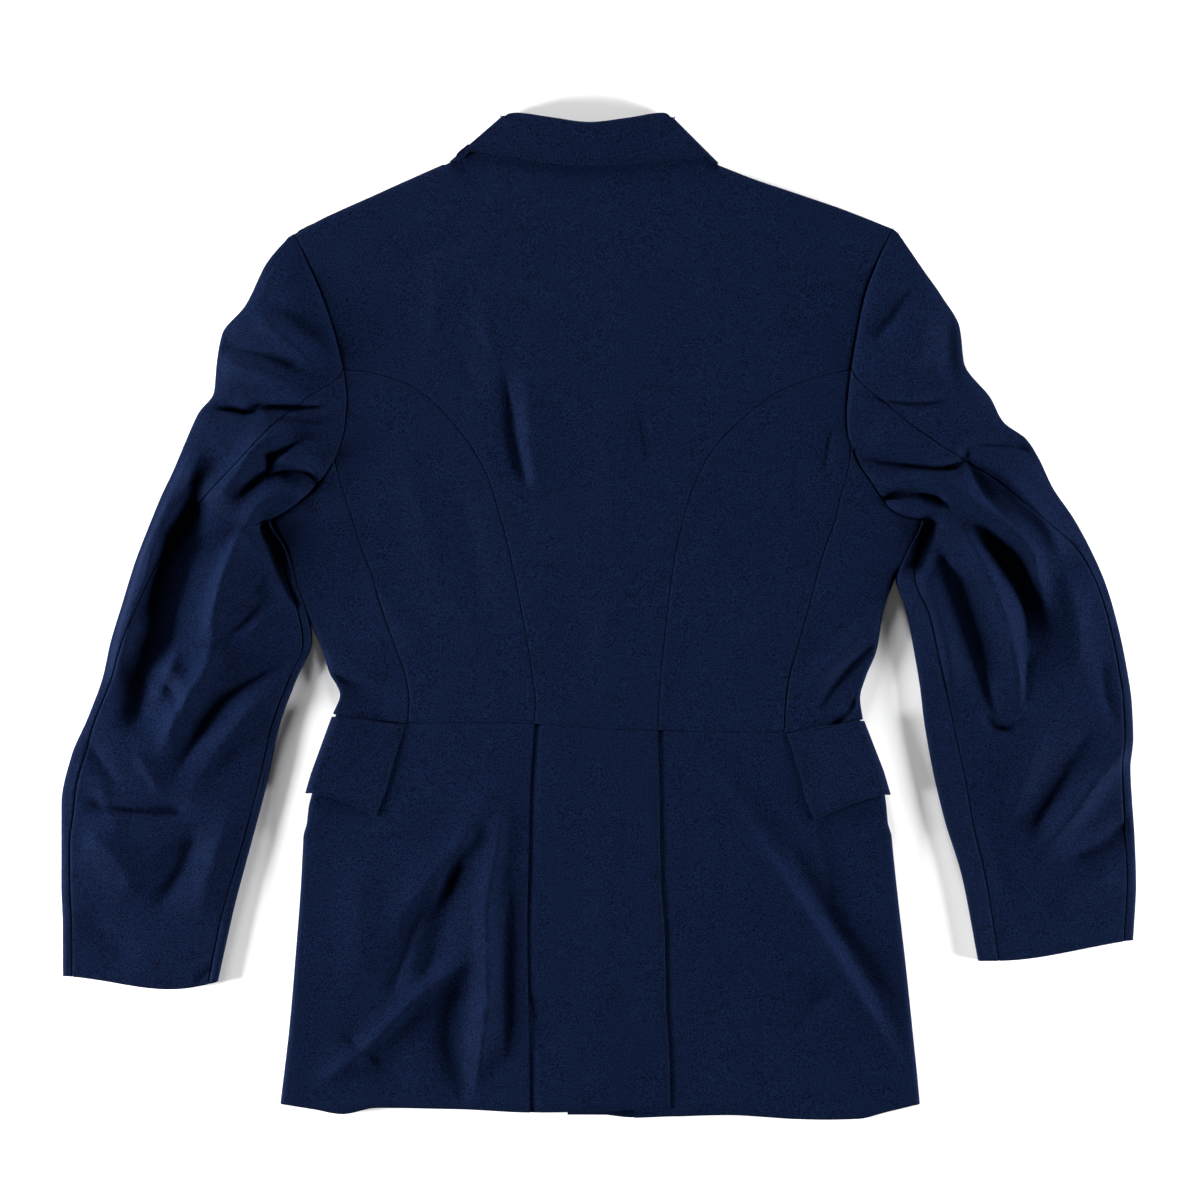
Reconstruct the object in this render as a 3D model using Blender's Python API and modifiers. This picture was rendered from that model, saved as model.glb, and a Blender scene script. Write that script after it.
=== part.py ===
"""A women's military dress tunic, laid flat on its buttoned front with its back up.

Every cut piece is one wall of cloth: an open surface lofted through level sections and given
its thickness by Solidify. Lengths in the tables are in millimetres. X runs to the right from the
centre back, Y up from the hem, and Z up from the surface that the fronts lie on. "Left" is -X.
"""

import math

import bmesh
import bpy
from mathutils import Vector

MM = 0.001

# Driving dimensions
WALL = 1.6  # shell cloth with its fused interlining
GAP = 0.3  # between two pieces
LAYER = WALL + GAP
SEAM = GAP / 2  # each piece stops this far short of the seam line
SLEEVE_SEAM = 0.4  # and this far where the wall slopes down to a sleeve seam
WAIST = 287.0  # nominal height of the waist seam above the hem
HEM = 8.0  # nominal height of the hem
UNDERARM = 433.0
NECK = 700.0
FOLD_HEIGHT = 5.0  # how high the cloth stands where it turns round a side fold
BUTTON_RADIUS = 10.0
BUTTON_THICKNESS = 2.4
BUTTON_HEIGHTS = (300.0, 372.0, 444.0, 516.0, 588.0)
NECK_MIDDLE = -8.0
FRONT_LAP = 22.0  # each front edge passes the centre by this
UNDERLAP = 26.0  # what a vent's hidden edge adds
LAP_LIFT = BUTTON_THICKNESS + 0.4  # the buttons carry the lapped edges
FLAP_LIFT = LAYER + GAP
FLAP_REACH = 62.0  # the flap's hidden half, on the front
CUFF = 21  # the last sleeve section

# Half sections of the body: x of each seam at a height. The edge is the armhole above the
# underarm and the side fold below it.
LEFT_BODY = (
    # height, edge, side seam, princess seam
    (287, -189, -137, -46),
    (303, -184, -136, -45),
    (318, -193, -138, -47),
    (339, -199, -145, -50),
    (367, -211, -155, -55),
    (390, -219, -162, -59),
    (411, -225, -170, -64),
    (433, -235, -177, -70),
    (448, -213, -182, -74),
    (460, -200, -186, -78),
    (473, -191, -189, -84),
    (485, -186, None, -91),
    (503, -182, None, -105),
    (516, -181, None, -117),
    (527, -181, None, -131),
    (535, -182, None, -150),
    (540, -183, None, -178),
    (571, -191, None, None),
    (597, -200, None, None),
    (618, -209, None, None),
    (638, -219, None, None),
    (650, -199, None, None),
    (664, -168, None, None),
    (678, -137, None, None),
    (689, -104, None, None),
)
RIGHT_BODY = (
    # height, edge, side seam, princess seam
    (287, 189, 134, 43),
    (303, 189, 135, 44),
    (318, 193, 137, 45),
    (339, 201, 143, 47),
    (367, 206, 151, 50),
    (390, 214, 157, 53),
    (411, 224, 163, 56),
    (433, 232, 171, 61),
    (448, 204, 174, 65),
    (460, 196, 178, 70),
    (473, 187, 184, 77),
    (485, 182, None, 84),
    (503, 179, None, 101),
    (516, 179, None, 117),
    (527, 180, None, 136),
    (535, 180, None, 157),
    (540, 181, None, 176),
    (571, 187, None, None),
    (597, 193, None, None),
    (618, 201, None, None),
    (638, 209, None, None),
    (650, 192, None, None),
    (664, 155, None, None),
    (678, 114, None, None),
    (689, 79, None, None),
)
# The front neckline: half width at a height, each side of the collar's middle
NECKLINE = ((610, 0), (618, 25), (638, 35), (650, 44), (664, 55), (678, 66), (689, 73))
SKIRT = (
    # height, left fold, left vent, right vent, right fold
    (287, -189, -46, 43, 189),
    (270, -197, -47, 44, 198),
    (240, -207, -49, 44, 207),
    (222, -211, -49, 44, 210),
    (205, -212, -50, 45, 212),
    (170, -214, -50, 46, 215),
    (120, -218, -51, 48, 221),
    (70, -222, -50, 50, 226),
    (8, -229, -49, 52, 232),
)
WAIST_LINE = ((-189, 294), (-137, 286.5), (-46, 286), (43, 281.5), (134, 280), (189, 290))
LEFT_HEM = ((-229, 12), (-184, 5), (-96, 8), (-49, 6), (51, 9))
RIGHT_HEM = ((6, 4), (92, 4), (163, 0), (187, 1), (232, 12))
LEFT_FLAP = (
    # inner x, inner drop, outer x, outer drop below the waist seam
    (-139, 0.8, -191, 0.8),
    (-146, 22, -199, 20),
    (-153, 44, -206, 38),
    (-160, 66, -210, 55),
)
RIGHT_FLAP = (
    (136, 0.8, 191, 0.8),
    (143, 21, 199, 19),
    (150, 41, 206, 36),
    (157, 62, 210, 52),
)
# Sleeve sections from the shoulder down to the cuff. The inner end is on the armhole for the
# first twelve, then on the inner fold. Hind and fore are the seams' distances from the outer
# and the inner fold, and crown is the section's height.
LEFT_SLEEVE = (
    # outer x, outer y, inner x, inner y, hind, fore, crown
    (-229, 633, -216, 632, None, None, 5),
    (-237, 621, -209, 618, None, None, 10),
    (-252, 592, -200, 597, None, None, 14),
    (-270, 568, -191, 571, None, None, 15),
    (-276, 545, -183, 540, 88, None, 15),
    (-278, 524, -181, 516, 65, None, 15),
    (-289, 509, -182, 503, 60, None, 14),
    (-298, 488, -186, 485, 51, None, 15),
    (-306, 469, -191, 473, 44, None, 16),
    (-315, 450, -200, 460, 36, None, 16),
    (-324, 428, -213, 448, 28, None, 16),
    (-334, 402, -235, 433, 22, 4, 17),
    (-343, 373, -227, 411, 16, 7, 17),
    (-352, 343, -221, 390, 12, 7, 16),
    (-357, 318, -213, 367, 9, 7, 15),
    (-369, 288, -206, 350, 8, 7, 14),
    (-381, 262, -218, 316, 12, 7, 14),
    (-387, 228, -229, 286, 11, 7, 13),
    (-387, 196, -237, 250, 7, 7, 12),
    (-387, 170, -248, 206, 7, 7, 10),
    (-386, 138, -262, 154, 7, 8, 8),
    (-386, 104, -274, 100, 7, 7, 6),
)
RIGHT_SLEEVE = (
    (222, 634, 207, 632, None, None, 5),
    (233, 616, 201, 618, None, None, 10),
    (246, 595, 193, 597, None, None, 14),
    (261, 571, 187, 571, None, None, 15),
    (265, 545, 181, 540, 80, None, 15),
    (283, 520, 179, 516, 75, None, 15),
    (292, 505, 179, 503, 69, None, 14),
    (308, 491, 182, 485, 65, None, 15),
    (318, 478, 187, 473, 53, None, 16),
    (328, 456, 196, 460, 37, None, 16),
    (343, 434, 204, 448, 27, None, 16),
    (356, 410, 232, 433, 12, 4, 17),
    (366, 388, 228, 409, 8, 9, 17),
    (373, 364, 220, 391, 7, 18, 16),
    (380, 333, 223, 367, 7, 18, 16),
    (385, 300, 227, 343, 7, 18, 15),
    (386, 275, 231, 316, 7, 19, 14),
    (384, 254, 235, 288, 7, 21, 13),
    (385, 232, 241, 254, 7, 22, 12),
    (387, 203, 250, 216, 7, 19, 10),
    (388, 170, 262, 177, 7, 16, 8),
    (386, 130, 274, 115, 7, 15, 6),
)
# The collar's visible half: its rolled top edge and the lower edge that lies on the back
COLLAR = (
    # roll x, roll y, edge x, edge y
    (-45, 724, -62, 694),
    (-6, 719, -6, 688),
    (33, 724, 42, 691),
)
LEFT_COLLAR_FOLD = ((-69, 724), (-107, 691))
RIGHT_COLLAR_FOLD = ((54, 723), (87, 690))
LEFT_COLLAR_POINT = ((-9, 642), (-50, 604))
RIGHT_COLLAR_POINT = ((-3, 642), (38, 604))

# The largest folds of the upper layer, each a straight soft ridge or, where negative, a trough
FOLDS = (
    # start x, start y, end x, end y, half width, height
    (72, 262, 216, 32, 14, 4.0),
    (-116, 178, -140, 100, 14, 3.0),
    (-96, 120, -205, 24, 14, 4.0),
    (-72, 220, -80, 40, 14, 2.5),
    (-62, 520, -52, 452, 14, 2.0),
    (-236, 480, -325, 325, 22, -7.0),
    (-262, 425, -290, 300, 18, 6.0),
    (-300, 470, -342, 330, 16, 5.0),
    (-200, 470, -285, 440, 16, 4.0),
    (-240, 560, -200, 520, 18, 3.0),
    (200, 452, 262, 430, 14, 4.0),
    (262, 430, 300, 300, 18, 7.0),
    (285, 440, 318, 350, 14, -7.0),
    (300, 480, 360, 380, 18, 4.0),
    (378, 265, 318, 185, 18, 4.0),
    (345, 280, 305, 200, 16, -5.0),
)

CLOTH = (0.0056, 0.0110, 0.0369)
CLOTH_EDGE = (0.0048, 0.0096, 0.0330)
BUTTON_NAVY = (0.0060, 0.0085, 0.0180)

# Where one layer lifts another, each as low, high and the ramp outside them
COLLAR_POINTS_X = (-1, 125, 25)
COLLAR_POINTS_Y = (588, 740, 15)
FLAP_BACKS_X = (120, 240, 20)
FLAP_BACKS_Y = (212, 292, 15)
LAP_Y = (-1, 640, 30)
LAP_RAMP = 50
RIGHT_LAP = (-60, 38)
LEFT_LAP = (-38, 60)
BACK_LAP = 70  # the back follows the lap this far each side of the middle
VENT_LAP = 100
BACK_OVER_POINTS = 25  # how much wider the back follows the collar's points and the flaps
BACK_OVER_FLAPS = 20
CURVE_REACH = 60  # the waist's and hem's curves die out this far from them

PRINCESS_TOP = 540
BACK_NECK = (-88, 70)
BACK_COLUMNS = 11
SIDE_COLUMNS = 5
FRONT_CREASE = 88  # columns of the fronts: outside and inside the lapped edges
LAP_CREASE = 37
NECK_COLUMNS = (50, 14, 0)  # distances of the fronts' columns from the neckline
NECK_CLEARANCE = 12
NARROW_NECK = 40  # where less cloth than this is left, the columns share it out
NARROW_SHARES = (0.6, 0.3, 0)
OUTER_SHARES = (0.35, 0.7)

CREASE_NEAR = 2  # a layer steps down between these distances past an edge that covers it
CREASE_FAR = 12
SKIRT_STEP_LEFT = (3, 18)
SKIRT_STEP_RIGHT = (2, 16)
BEHIND_FLAP = (214, 300, 12)
SKIRT_SEAM_FOOT = 150  # the line of the side seam goes on down the skirt to here
LEFT_SEAM_WAIST = 137
RIGHT_SEAM_WAIST = 134
BETWEEN_SHARE = 0.5
NEAR_FOLD_SHARE = 0.6

FLAP_SINK = 1.0  # a flap's inner edge lies this much lower than its fold
FLAP_MIDDLE_SINK = 0.6

SLEEVE_FOLD = FOLD_HEIGHT + 1  # the sleeves' folds are a little thicker than the body's
CROWN_SHAPE = 0.8
CUFF_BOW = 9
SLEEVE_CLEAR = 0.4
FOLD_EASE = 3
PAST_FOLD = 0.8
LEAST_PANEL = 1
INNER_SIDE_POINTS = 5  # how many points a section has round its inner fold

COLLAR_SHARES = ((0, 0), (0.5, 0), (0.9, 0.15), (1, 1))  # place on the fall, part of the roll's drop
ROLL_DROP = 2.5
STAND_FOOT = (-80, 62)
STAND_TOP = (-64, 48)
STAND_TOP_Y = 714


def straight_line(knots, x):
    """The height of a line of straight runs at x, level past its ends."""
    knots = sorted(knots)
    if x <= knots[0][0]:
        return knots[0][1]
    for (x0, y0), (x1, y1) in zip(knots, knots[1:]):
        if x <= x1:
            return y0 + (y1 - y0) * (x - x0) / (x1 - x0)
    return knots[-1][1]


def plateau(value, low, high, ramp):
    """1 between low and high, falling to 0 over the ramp on each side."""
    return max(0.0, min(1.0, (value - low) / ramp + 1, (high - value) / ramp + 1))


def fitted(x, y, hem_line):
    """The height that a level section has at x once the waist and hem take their curves."""
    at_waist = max(0.0, 1 - abs(y - WAIST) / CURVE_REACH)
    at_hem = max(0.0, 1 - abs(y - HEM) / CURVE_REACH)
    waist_shift = straight_line(WAIST_LINE, x) - WAIST
    return y + at_waist * waist_shift + at_hem * (straight_line(hem_line, x) - HEM)


def neck_lift(x, y, spread):
    """The collar's front points lie under the fronts and carry them."""
    low_x, high_x, ramp_x = COLLAR_POINTS_X
    low_y, high_y, ramp_y = COLLAR_POINTS_Y
    across = plateau(abs(x), low_x, high_x + spread, ramp_x)
    return FLAP_LIFT * across * plateau(y, low_y - spread, high_y, ramp_y)


def flap_lift(x, y, spread):
    """The flaps' hidden halves lie under the skirt and carry it."""
    low_x, high_x, ramp_x = FLAP_BACKS_X
    low_y, high_y, ramp_y = FLAP_BACKS_Y
    across = plateau(abs(x), low_x - spread, high_x, ramp_x)
    return FLAP_LIFT * across * plateau(y, low_y - spread, high_y, ramp_y)


def lap_lift(x, y, low, high, height):
    """The lapped fronts and their buttons carry what lies on them."""
    return height * plateau(x, low, high, LAP_RAMP) * plateau(y, *LAP_Y)


def right_front_floor(x, y):
    lap = lap_lift(x, y, *RIGHT_LAP, LAP_LIFT)
    return max(lap, neck_lift(x, y, 0), flap_lift(x, y, 0))


def left_front_floor(x, y):
    lap = lap_lift(x, y, *LEFT_LAP, LAP_LIFT + LAYER)
    return max(lap, neck_lift(x, y, 0), flap_lift(x, y, 0))


def fold_height(x, y):
    """What the large folds add to the upper layer at a point."""
    total = 0.0
    for x0, y0, x1, y1, half_width, height in FOLDS:
        run = Vector((x1 - x0, y1 - y0))
        along = Vector((x - x0, y - y0)).dot(run) / run.length_squared
        along = max(0.0, min(1.0, along))
        away = Vector((x - x0 - along * run.x, y - y0 - along * run.y)).length
        total += height * math.exp(-((away / half_width) ** 2))
    return total


def back_height(x, y):
    """The upper face of the back where it lies on the fronts, with its folds."""
    lap = lap_lift(x, y, -BACK_LAP, BACK_LAP, LAP_LIFT + LAYER)
    floor = max(lap, neck_lift(x, y, BACK_OVER_POINTS), flap_lift(x, y, BACK_OVER_FLAPS))
    return floor + LAYER + WALL + max(0.0, fold_height(x, y))


def spread_between(start, end, count):
    """Evenly spaced values from start to end."""
    return [start + (end - start) * i / (count - 1) for i in range(count)]


def turn(edge, side, top, bottom):
    """(x, z) of a half-round fold whose outermost line is at edge, from its top to its foot."""
    radius = (top - bottom) / 2
    middle = (top + bottom) / 2
    points = []
    for angle in (90, 45, 0, -45, -90):
        reach = radius * math.cos(math.radians(angle))
        points.append((edge + side * (reach - radius), middle + radius * math.sin(math.radians(angle))))
    return points


def material_for(name, colour, roughness):
    material = bpy.data.materials.new(name)
    material.use_nodes = True
    shader = material.node_tree.nodes["Principled BSDF"]
    shader.inputs["Base Color"].default_value = (*colour, 1)
    shader.inputs["Roughness"].default_value = roughness
    shader.inputs["Metallic"].default_value = 0.0
    return material


def add_object(name, mesh, colour, roughness=0.75):
    obj = bpy.data.objects.new(name, mesh)
    tunic.objects.link(obj)
    obj.parent = centre
    mesh.materials.append(material_for(name + "_finish", colour, roughness))
    mesh.shade_smooth()
    return obj


def cloth_piece(name, rows, colour=CLOTH):
    """One cut piece: a loft through rows of (x, y, z), where None leaves the cloth out."""
    mesh = bpy.data.meshes.new(name)
    surface = bmesh.new()
    grid = []
    for row in rows:
        grid.append([None if point is None else surface.verts.new(Vector(point) * MM) for point in row])
    for lower, upper in zip(grid, grid[1:]):
        for i in range(len(lower) - 1):
            corners = (lower[i], lower[i + 1], upper[i + 1], upper[i])
            if None not in corners:
                surface.faces.new(corners)
    loose = [vert for vert in surface.verts if not vert.link_faces]
    bmesh.ops.delete(surface, geom=loose, context="VERTS")
    surface.normal_update()
    highest = max(surface.faces, key=lambda face: face.calc_center_median().z)
    if highest.normal.z < 0:
        bmesh.ops.reverse_faces(surface, faces=surface.faces)
    surface.to_mesh(mesh)
    surface.free()
    obj = add_object(name, mesh, colour)
    wall = obj.modifiers.new("cloth", "SOLIDIFY")
    wall.thickness = WALL * MM
    wall.offset = -1
    wall.use_rim = True
    return obj


def body_rows(table, lowest, highest):
    return [row for row in table if lowest <= row[0] <= highest]


def princess_inset(table, index):
    """How far a level section stops short of the princess seam, more where the seam runs level."""
    slopes = [0.0]
    for lower, upper in zip(table[max(0, index - 1) : index + 1], table[index : index + 2]):
        if None not in (lower[3], upper[3]):
            slopes.append((upper[3] - lower[3]) / (upper[0] - lower[0]) if upper is not lower else 0)
    return SEAM * math.hypot(1, max(abs(slope) for slope in slopes))


def make_back_centre():
    rows = []
    for index, (left, right) in enumerate(zip(LEFT_BODY, RIGHT_BODY)):
        start = (left[3] if left[3] is not None else left[1]) + princess_inset(LEFT_BODY, index)
        end = (right[3] if right[3] is not None else right[1]) - princess_inset(RIGHT_BODY, index)
        y = left[0] + (SEAM if left[0] == WAIST else 0)
        row = []
        for x in spread_between(start, end, BACK_COLUMNS):
            row.append((x, fitted(x, y, LEFT_HEM), back_height(x, y)))
        rows.append(row)
    ends = spread_between(*BACK_NECK, BACK_COLUMNS)
    rows.append([(x, NECK, back_height(x, NECK)) for x in ends])
    cloth_piece("back_centre", rows)


def make_back_side(name, table, side):
    rows = []
    for index, (y, edge, side_seam, princess) in enumerate(body_rows(table, WAIST, PRINCESS_TOP)):
        outer = edge if side_seam is None else side_seam
        inner = princess + side * princess_inset(table, index)
        y += SEAM if y == WAIST else 0
        row = []
        for x in spread_between(outer - side * SEAM, inner, SIDE_COLUMNS):
            row.append((x, fitted(x, y, LEFT_HEM), back_height(x, y)))
        rows.append(row)
    cloth_piece(name, rows)


def under_columns(outer, y, side):
    """x of the front's columns on the surface, from the side to its own front edge."""
    if y < NECKLINE[0][0]:
        lap = (side * FRONT_CREASE, side * LAP_CREASE, -side * FRONT_LAP)
    else:
        neck = straight_line(NECKLINE, y) + side * NECK_MIDDLE
        width = abs(outer) - neck
        furthest, near, at_edge = NECK_COLUMNS
        steps = (min(furthest, width - NECK_CLEARANCE), near, at_edge)
        if width < NARROW_NECK:
            steps = [width * share for share in NARROW_SHARES]
        lap = tuple(side * (neck + step) for step in steps)
    return [outer + (lap[0] - outer) * share for share in OUTER_SHARES] + list(lap)


def make_front(name, table, side, floor):
    rows = []
    for y, edge, side_seam, _ in body_rows(table, WAIST, NECK):
        whole = y <= UNDERARM
        level = y + (SEAM if y == WAIST else 0)
        if whole:
            under = floor(edge, y)
            top = under + FOLD_HEIGHT
            folded = turn(edge, side, top, under)
            strip_end = folded[0][0]
        else:
            strip_end = edge - side * SEAM
        row = []
        for i, x in enumerate(spread_between((side_seam or edge) + side * SEAM, strip_end, 3)):
            if side_seam is None or (i == 2 and whole):
                row.append(None)
            else:
                row.append((x, level, back_height(x, y)))
        if whole:
            row[2] = (folded[0][0], level, folded[0][1])
            row += [(x, level, z) for x, z in folded[1:]]
        else:
            row += [None, None, None, (strip_end, level, floor(strip_end, y))]
        for x in under_columns(edge, y, side):
            row.append((x, level, floor(x, y)))
        rows.append([p and (p[0], fitted(p[0], p[1], LEFT_HEM), p[2]) for p in row])
    cloth_piece(name, rows)


def make_skirt_centre():
    """The centre back panel: tucked under the left panel, and lying over the right one."""
    rows = []
    for y, _, left_vent, right_vent, _ in SKIRT:
        level = y - (SEAM if y == WAIST else 0)
        columns = (
            (left_vent - UNDERLAP, 0),
            (left_vent - CREASE_NEAR, 0),
            (left_vent + CREASE_FAR, 0),
            ((left_vent + right_vent - UNDERLAP) / 2, 0),
            (right_vent - UNDERLAP - CREASE_NEAR - CREASE_FAR, 0),
            (right_vent - UNDERLAP - CREASE_NEAR, LAYER + GAP),
            (right_vent, LAYER + GAP),
        )
        rows.append([(x, fitted(x, level, LEFT_HEM), vent_floor(x, y) + z) for x, z in columns])
    cloth_piece("skirt_back_centre", rows)


def vent_floor(x, y):
    """The upper face of the lowest back layer near the vents."""
    return lap_lift(x, y, -VENT_LAP, VENT_LAP, LAP_LIFT + LAYER) + LAYER + WALL


def make_skirt(name, side, floor, hem_line):
    rows = []
    for y, left_fold, left_vent, right_vent, right_fold in SKIRT:
        level = y - (SEAM if y == WAIST else 0)
        if side < 0:
            edge = left_fold
            over = LAYER + GAP
            tucked_end = left_vent - UNDERLAP
            near, far = SKIRT_STEP_LEFT
            tops = [(left_vent, over), (tucked_end - near, over), (tucked_end - far, 0)]
        else:
            edge = right_fold
            near, far = SKIRT_STEP_RIGHT
            tops = [(right_vent - UNDERLAP, 0), (right_vent + near, 0), (right_vent + far, 0)]
        in_flap = plateau(y, *BEHIND_FLAP)
        edge -= side * in_flap * (LAYER + GAP)
        under = floor(edge, y)
        folded = turn(edge, side, under + FOLD_HEIGHT, under)
        seam_at_waist = LEFT_SEAM_WAIST if side < 0 else RIGHT_SEAM_WAIST
        seam_x = straight_line(((HEM, SKIRT_SEAM_FOOT), (WAIST, seam_at_waist)), y) * side
        before_seam = tops[-1][0] + (seam_x - tops[-1][0]) * BETWEEN_SHARE
        past_seam = seam_x + (folded[0][0] - seam_x) * NEAR_FOLD_SHARE
        between = [(before_seam, 0), (seam_x, 0), (past_seam, 0)]
        row = []
        for x, over in tops + between:
            height = max(back_height(x, y), vent_floor(x, y)) + over
            row.append((x, level, height))
        row += [(x, level, z) for x, z in folded]
        for x in under_columns(edge, y, side):
            row.append((x, level, floor(x, y)))
        rows.append([(x, fitted(x, y1, hem_line), z) for x, y1, z in row])
    cloth_piece(name, rows)


def make_flap(name, table, side):
    """A pocket flap: on the skirt's upper face, round the side fold and on under the front."""
    rows = []
    top = FLAP_LIFT + FOLD_HEIGHT + LAYER + 2 * GAP
    for inner_x, inner_drop, outer_x, outer_drop in table:
        folded = turn(outer_x, side, top, 0)
        middle = ((inner_x + outer_x) / 2, (inner_drop + outer_drop) / 2, top - FLAP_MIDDLE_SINK)
        row = [(inner_x, inner_drop, top - FLAP_SINK), middle]
        row += [(x, outer_drop, z) for x, z in folded]
        for share in (0.5, 1):
            row.append((folded[-1][0] - side * FLAP_REACH * share, outer_drop, 0))
        rows.append([(x, straight_line(WAIST_LINE, x) - drop, z) for x, drop, z in row])
    cloth_piece(name, rows, CLOTH_EDGE)


def section_height(share, crown, inner_height):
    """The upper face of a sleeve section, from its outer end (0) to its inner end (1)."""
    ends = SLEEVE_FOLD + (inner_height - SLEEVE_FOLD) * share
    return ends + (crown - ends) * max(0.0, math.sin(math.pi * share)) ** CROWN_SHAPE


def sleeve_section(row, index):
    """(top sleeve points, under sleeve points) of one section."""
    outer_x, outer_y, inner_x, inner_y, hind, fore, crown = row
    outer = Vector((outer_x, outer_y))
    inner = Vector((inner_x, inner_y))
    across = (inner - outer).normalized()
    width = (inner - outer).length
    closed = fore is not None
    if not closed:
        width -= 2 * SEAM
    inner_height = SLEEVE_FOLD if closed else back_height(inner_x, inner_y)
    edge = min(SLEEVE_FOLD, crown)

    def at(distance, z):
        point = outer + across * distance
        bow = CUFF_BOW * math.sin(math.pi * distance / width) if index == CUFF else 0
        return (point.x, point.y - bow, z)

    def upper(distance):
        point = outer + across * distance
        plain = section_height(distance / width, crown, inner_height)
        return at(distance, max(LAYER + WALL + SLEEVE_CLEAR, plain + fold_height(point.x, point.y)))

    top = []
    hind_at = min(hind, width) if hind is not None else width
    folded = turn(0, -1, edge, 0)
    start = edge / 2
    end = hind_at - SLEEVE_SEAM if hind is not None else width
    for distance in (end, *spread_between(end - min(FOLD_EASE, (end - start) / 2), start, 3)[:-1]):
        top.append(upper(distance))
    for x, z in folded:
        top.append(at(x, z))
    inner_radius = (SLEEVE_FOLD) / 2 if closed else 0
    for distance in spread_between(edge / 2, width - inner_radius, 6)[1:]:
        top.append(at(distance, 0))
    if closed:
        for x, z in reversed(turn(0, 1, SLEEVE_FOLD, 0)[:-1]):
            top.append(at(width + x, z))
        top.append(upper(width - max(fore - SLEEVE_SEAM, inner_radius + PAST_FOLD)))
    else:
        top += [None] * INNER_SIDE_POINTS
    under = None
    if hind is not None:
        stop = width
        if closed:
            stop -= max(fore + SLEEVE_SEAM, inner_radius + PAST_FOLD + 2 * SLEEVE_SEAM)
        first = hind_at + SLEEVE_SEAM
        if stop - first > LEAST_PANEL:
            easing = min(FOLD_EASE, (stop - first) / 4)
            between = spread_between(first + easing, stop - easing, 5)
            under = [upper(distance) for distance in (first, *between, stop)]
    return top, under


def make_sleeve(side_name, table):
    sections = [sleeve_section(row, index) for index, row in enumerate(table)]
    cloth_piece("top_sleeve_" + side_name, [top for top, _ in sections])
    cloth_piece("under_sleeve_" + side_name, [under for _, under in sections if under])


def collar_height(x, y):
    return back_height(x, y) + LAYER + 2 * GAP


def collar_row(roll, edge, z_roll, z_edge, roll_drop):
    """A section of the fall, from its lower edge to where it turns over at the roll."""
    roll = Vector(roll)
    edge = Vector(edge)
    row = []
    for share, drop in COLLAR_SHARES:
        point = edge.lerp(roll, share)
        row.append((point.x, point.y, z_edge + (z_roll - z_edge) * share - drop * roll_drop))
    return row


def collar_turn(fold, side, top):
    """The sections that carry the fall round the side of the neck, from its top to its foot."""
    (roll_x, roll_y), (edge_x, edge_y) = fold
    rows = []
    radius = top / 2
    for angle in (90, 45, 0, -45, -90):
        inward = side * radius * (1 - math.cos(math.radians(angle)))
        z = radius + radius * math.sin(math.radians(angle))
        roll = (roll_x - inward, roll_y)
        edge = (edge_x - inward, edge_y)
        rows.append(collar_row(roll, edge, z, z, ROLL_DROP * math.sin(math.radians(angle))))
    return rows


def make_collar():
    side_top = FLAP_LIFT + 2 * LAYER + FOLD_HEIGHT
    rows = []
    left_turn = collar_turn(LEFT_COLLAR_FOLD, -1, side_top)
    right_turn = collar_turn(RIGHT_COLLAR_FOLD, 1, side_top)
    rows.append(collar_row(*LEFT_COLLAR_POINT, 0, 0, -ROLL_DROP))
    rows += reversed(left_turn)
    for roll_x, roll_y, edge_x, edge_y in COLLAR:
        z_edge = collar_height(edge_x, edge_y)
        z_roll = collar_height(roll_x, NECK)
        rows.append(collar_row((roll_x, roll_y), (edge_x, edge_y), z_roll, z_edge, ROLL_DROP))
    rows += right_turn
    rows.append(collar_row(*RIGHT_COLLAR_POINT, 0, 0, -ROLL_DROP))
    cloth_piece("collar_fall", rows, CLOTH_EDGE)
    stand = []
    for y, (low, high) in ((NECK + GAP, STAND_FOOT), (STAND_TOP_Y, STAND_TOP)):
        stand.append([(x, y, back_height(x, NECK)) for x in spread_between(low, high, 7)])
    cloth_piece("collar_stand", stand)


def make_buttons():
    for number, height in enumerate(BUTTON_HEIGHTS, 1):
        mesh = bpy.data.meshes.new(f"button_{number}")
        disc = bmesh.new()
        bmesh.ops.create_cone(
            disc,
            cap_ends=True,
            segments=24,
            radius1=BUTTON_RADIUS * MM,
            radius2=BUTTON_RADIUS * MM,
            depth=BUTTON_THICKNESS * MM,
        )
        bmesh.ops.translate(disc, verts=disc.verts, vec=(0, 0, BUTTON_THICKNESS * MM / 2))
        disc.to_mesh(mesh)
        disc.free()
        button = add_object(f"button_{number}", mesh, BUTTON_NAVY, 0.4)
        button.location = (0, height * MM, 0)


for old in list(bpy.data.objects):
    bpy.data.objects.remove(old)
tunic = bpy.data.collections.new("dress_tunic")
bpy.context.scene.collection.children.link(tunic)
centre = bpy.data.objects.new("tunic_centre", None)
tunic.objects.link(centre)

make_back_centre()
make_back_side("back_side_left", LEFT_BODY, -1)
make_back_side("back_side_right", RIGHT_BODY, 1)
make_front("front_left", LEFT_BODY, -1, left_front_floor)
make_front("front_right", RIGHT_BODY, 1, right_front_floor)
make_skirt_centre()
make_skirt("skirt_left", -1, left_front_floor, LEFT_HEM)
make_skirt("skirt_right", 1, right_front_floor, RIGHT_HEM)
make_flap("flap_left", LEFT_FLAP, -1)
make_flap("flap_right", RIGHT_FLAP, 1)
make_sleeve("left", LEFT_SLEEVE)
make_sleeve("right", RIGHT_SLEEVE)
make_collar()
make_buttons()

corners = [obj.location + vert.co for obj in tunic.objects if obj.data for vert in obj.data.vertices]
middle_x = (min(corner.x for corner in corners) + max(corner.x for corner in corners)) / 2
middle_y = (min(corner.y for corner in corners) + max(corner.y for corner in corners)) / 2
centre.location = (-middle_x, -middle_y, 0)
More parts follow.
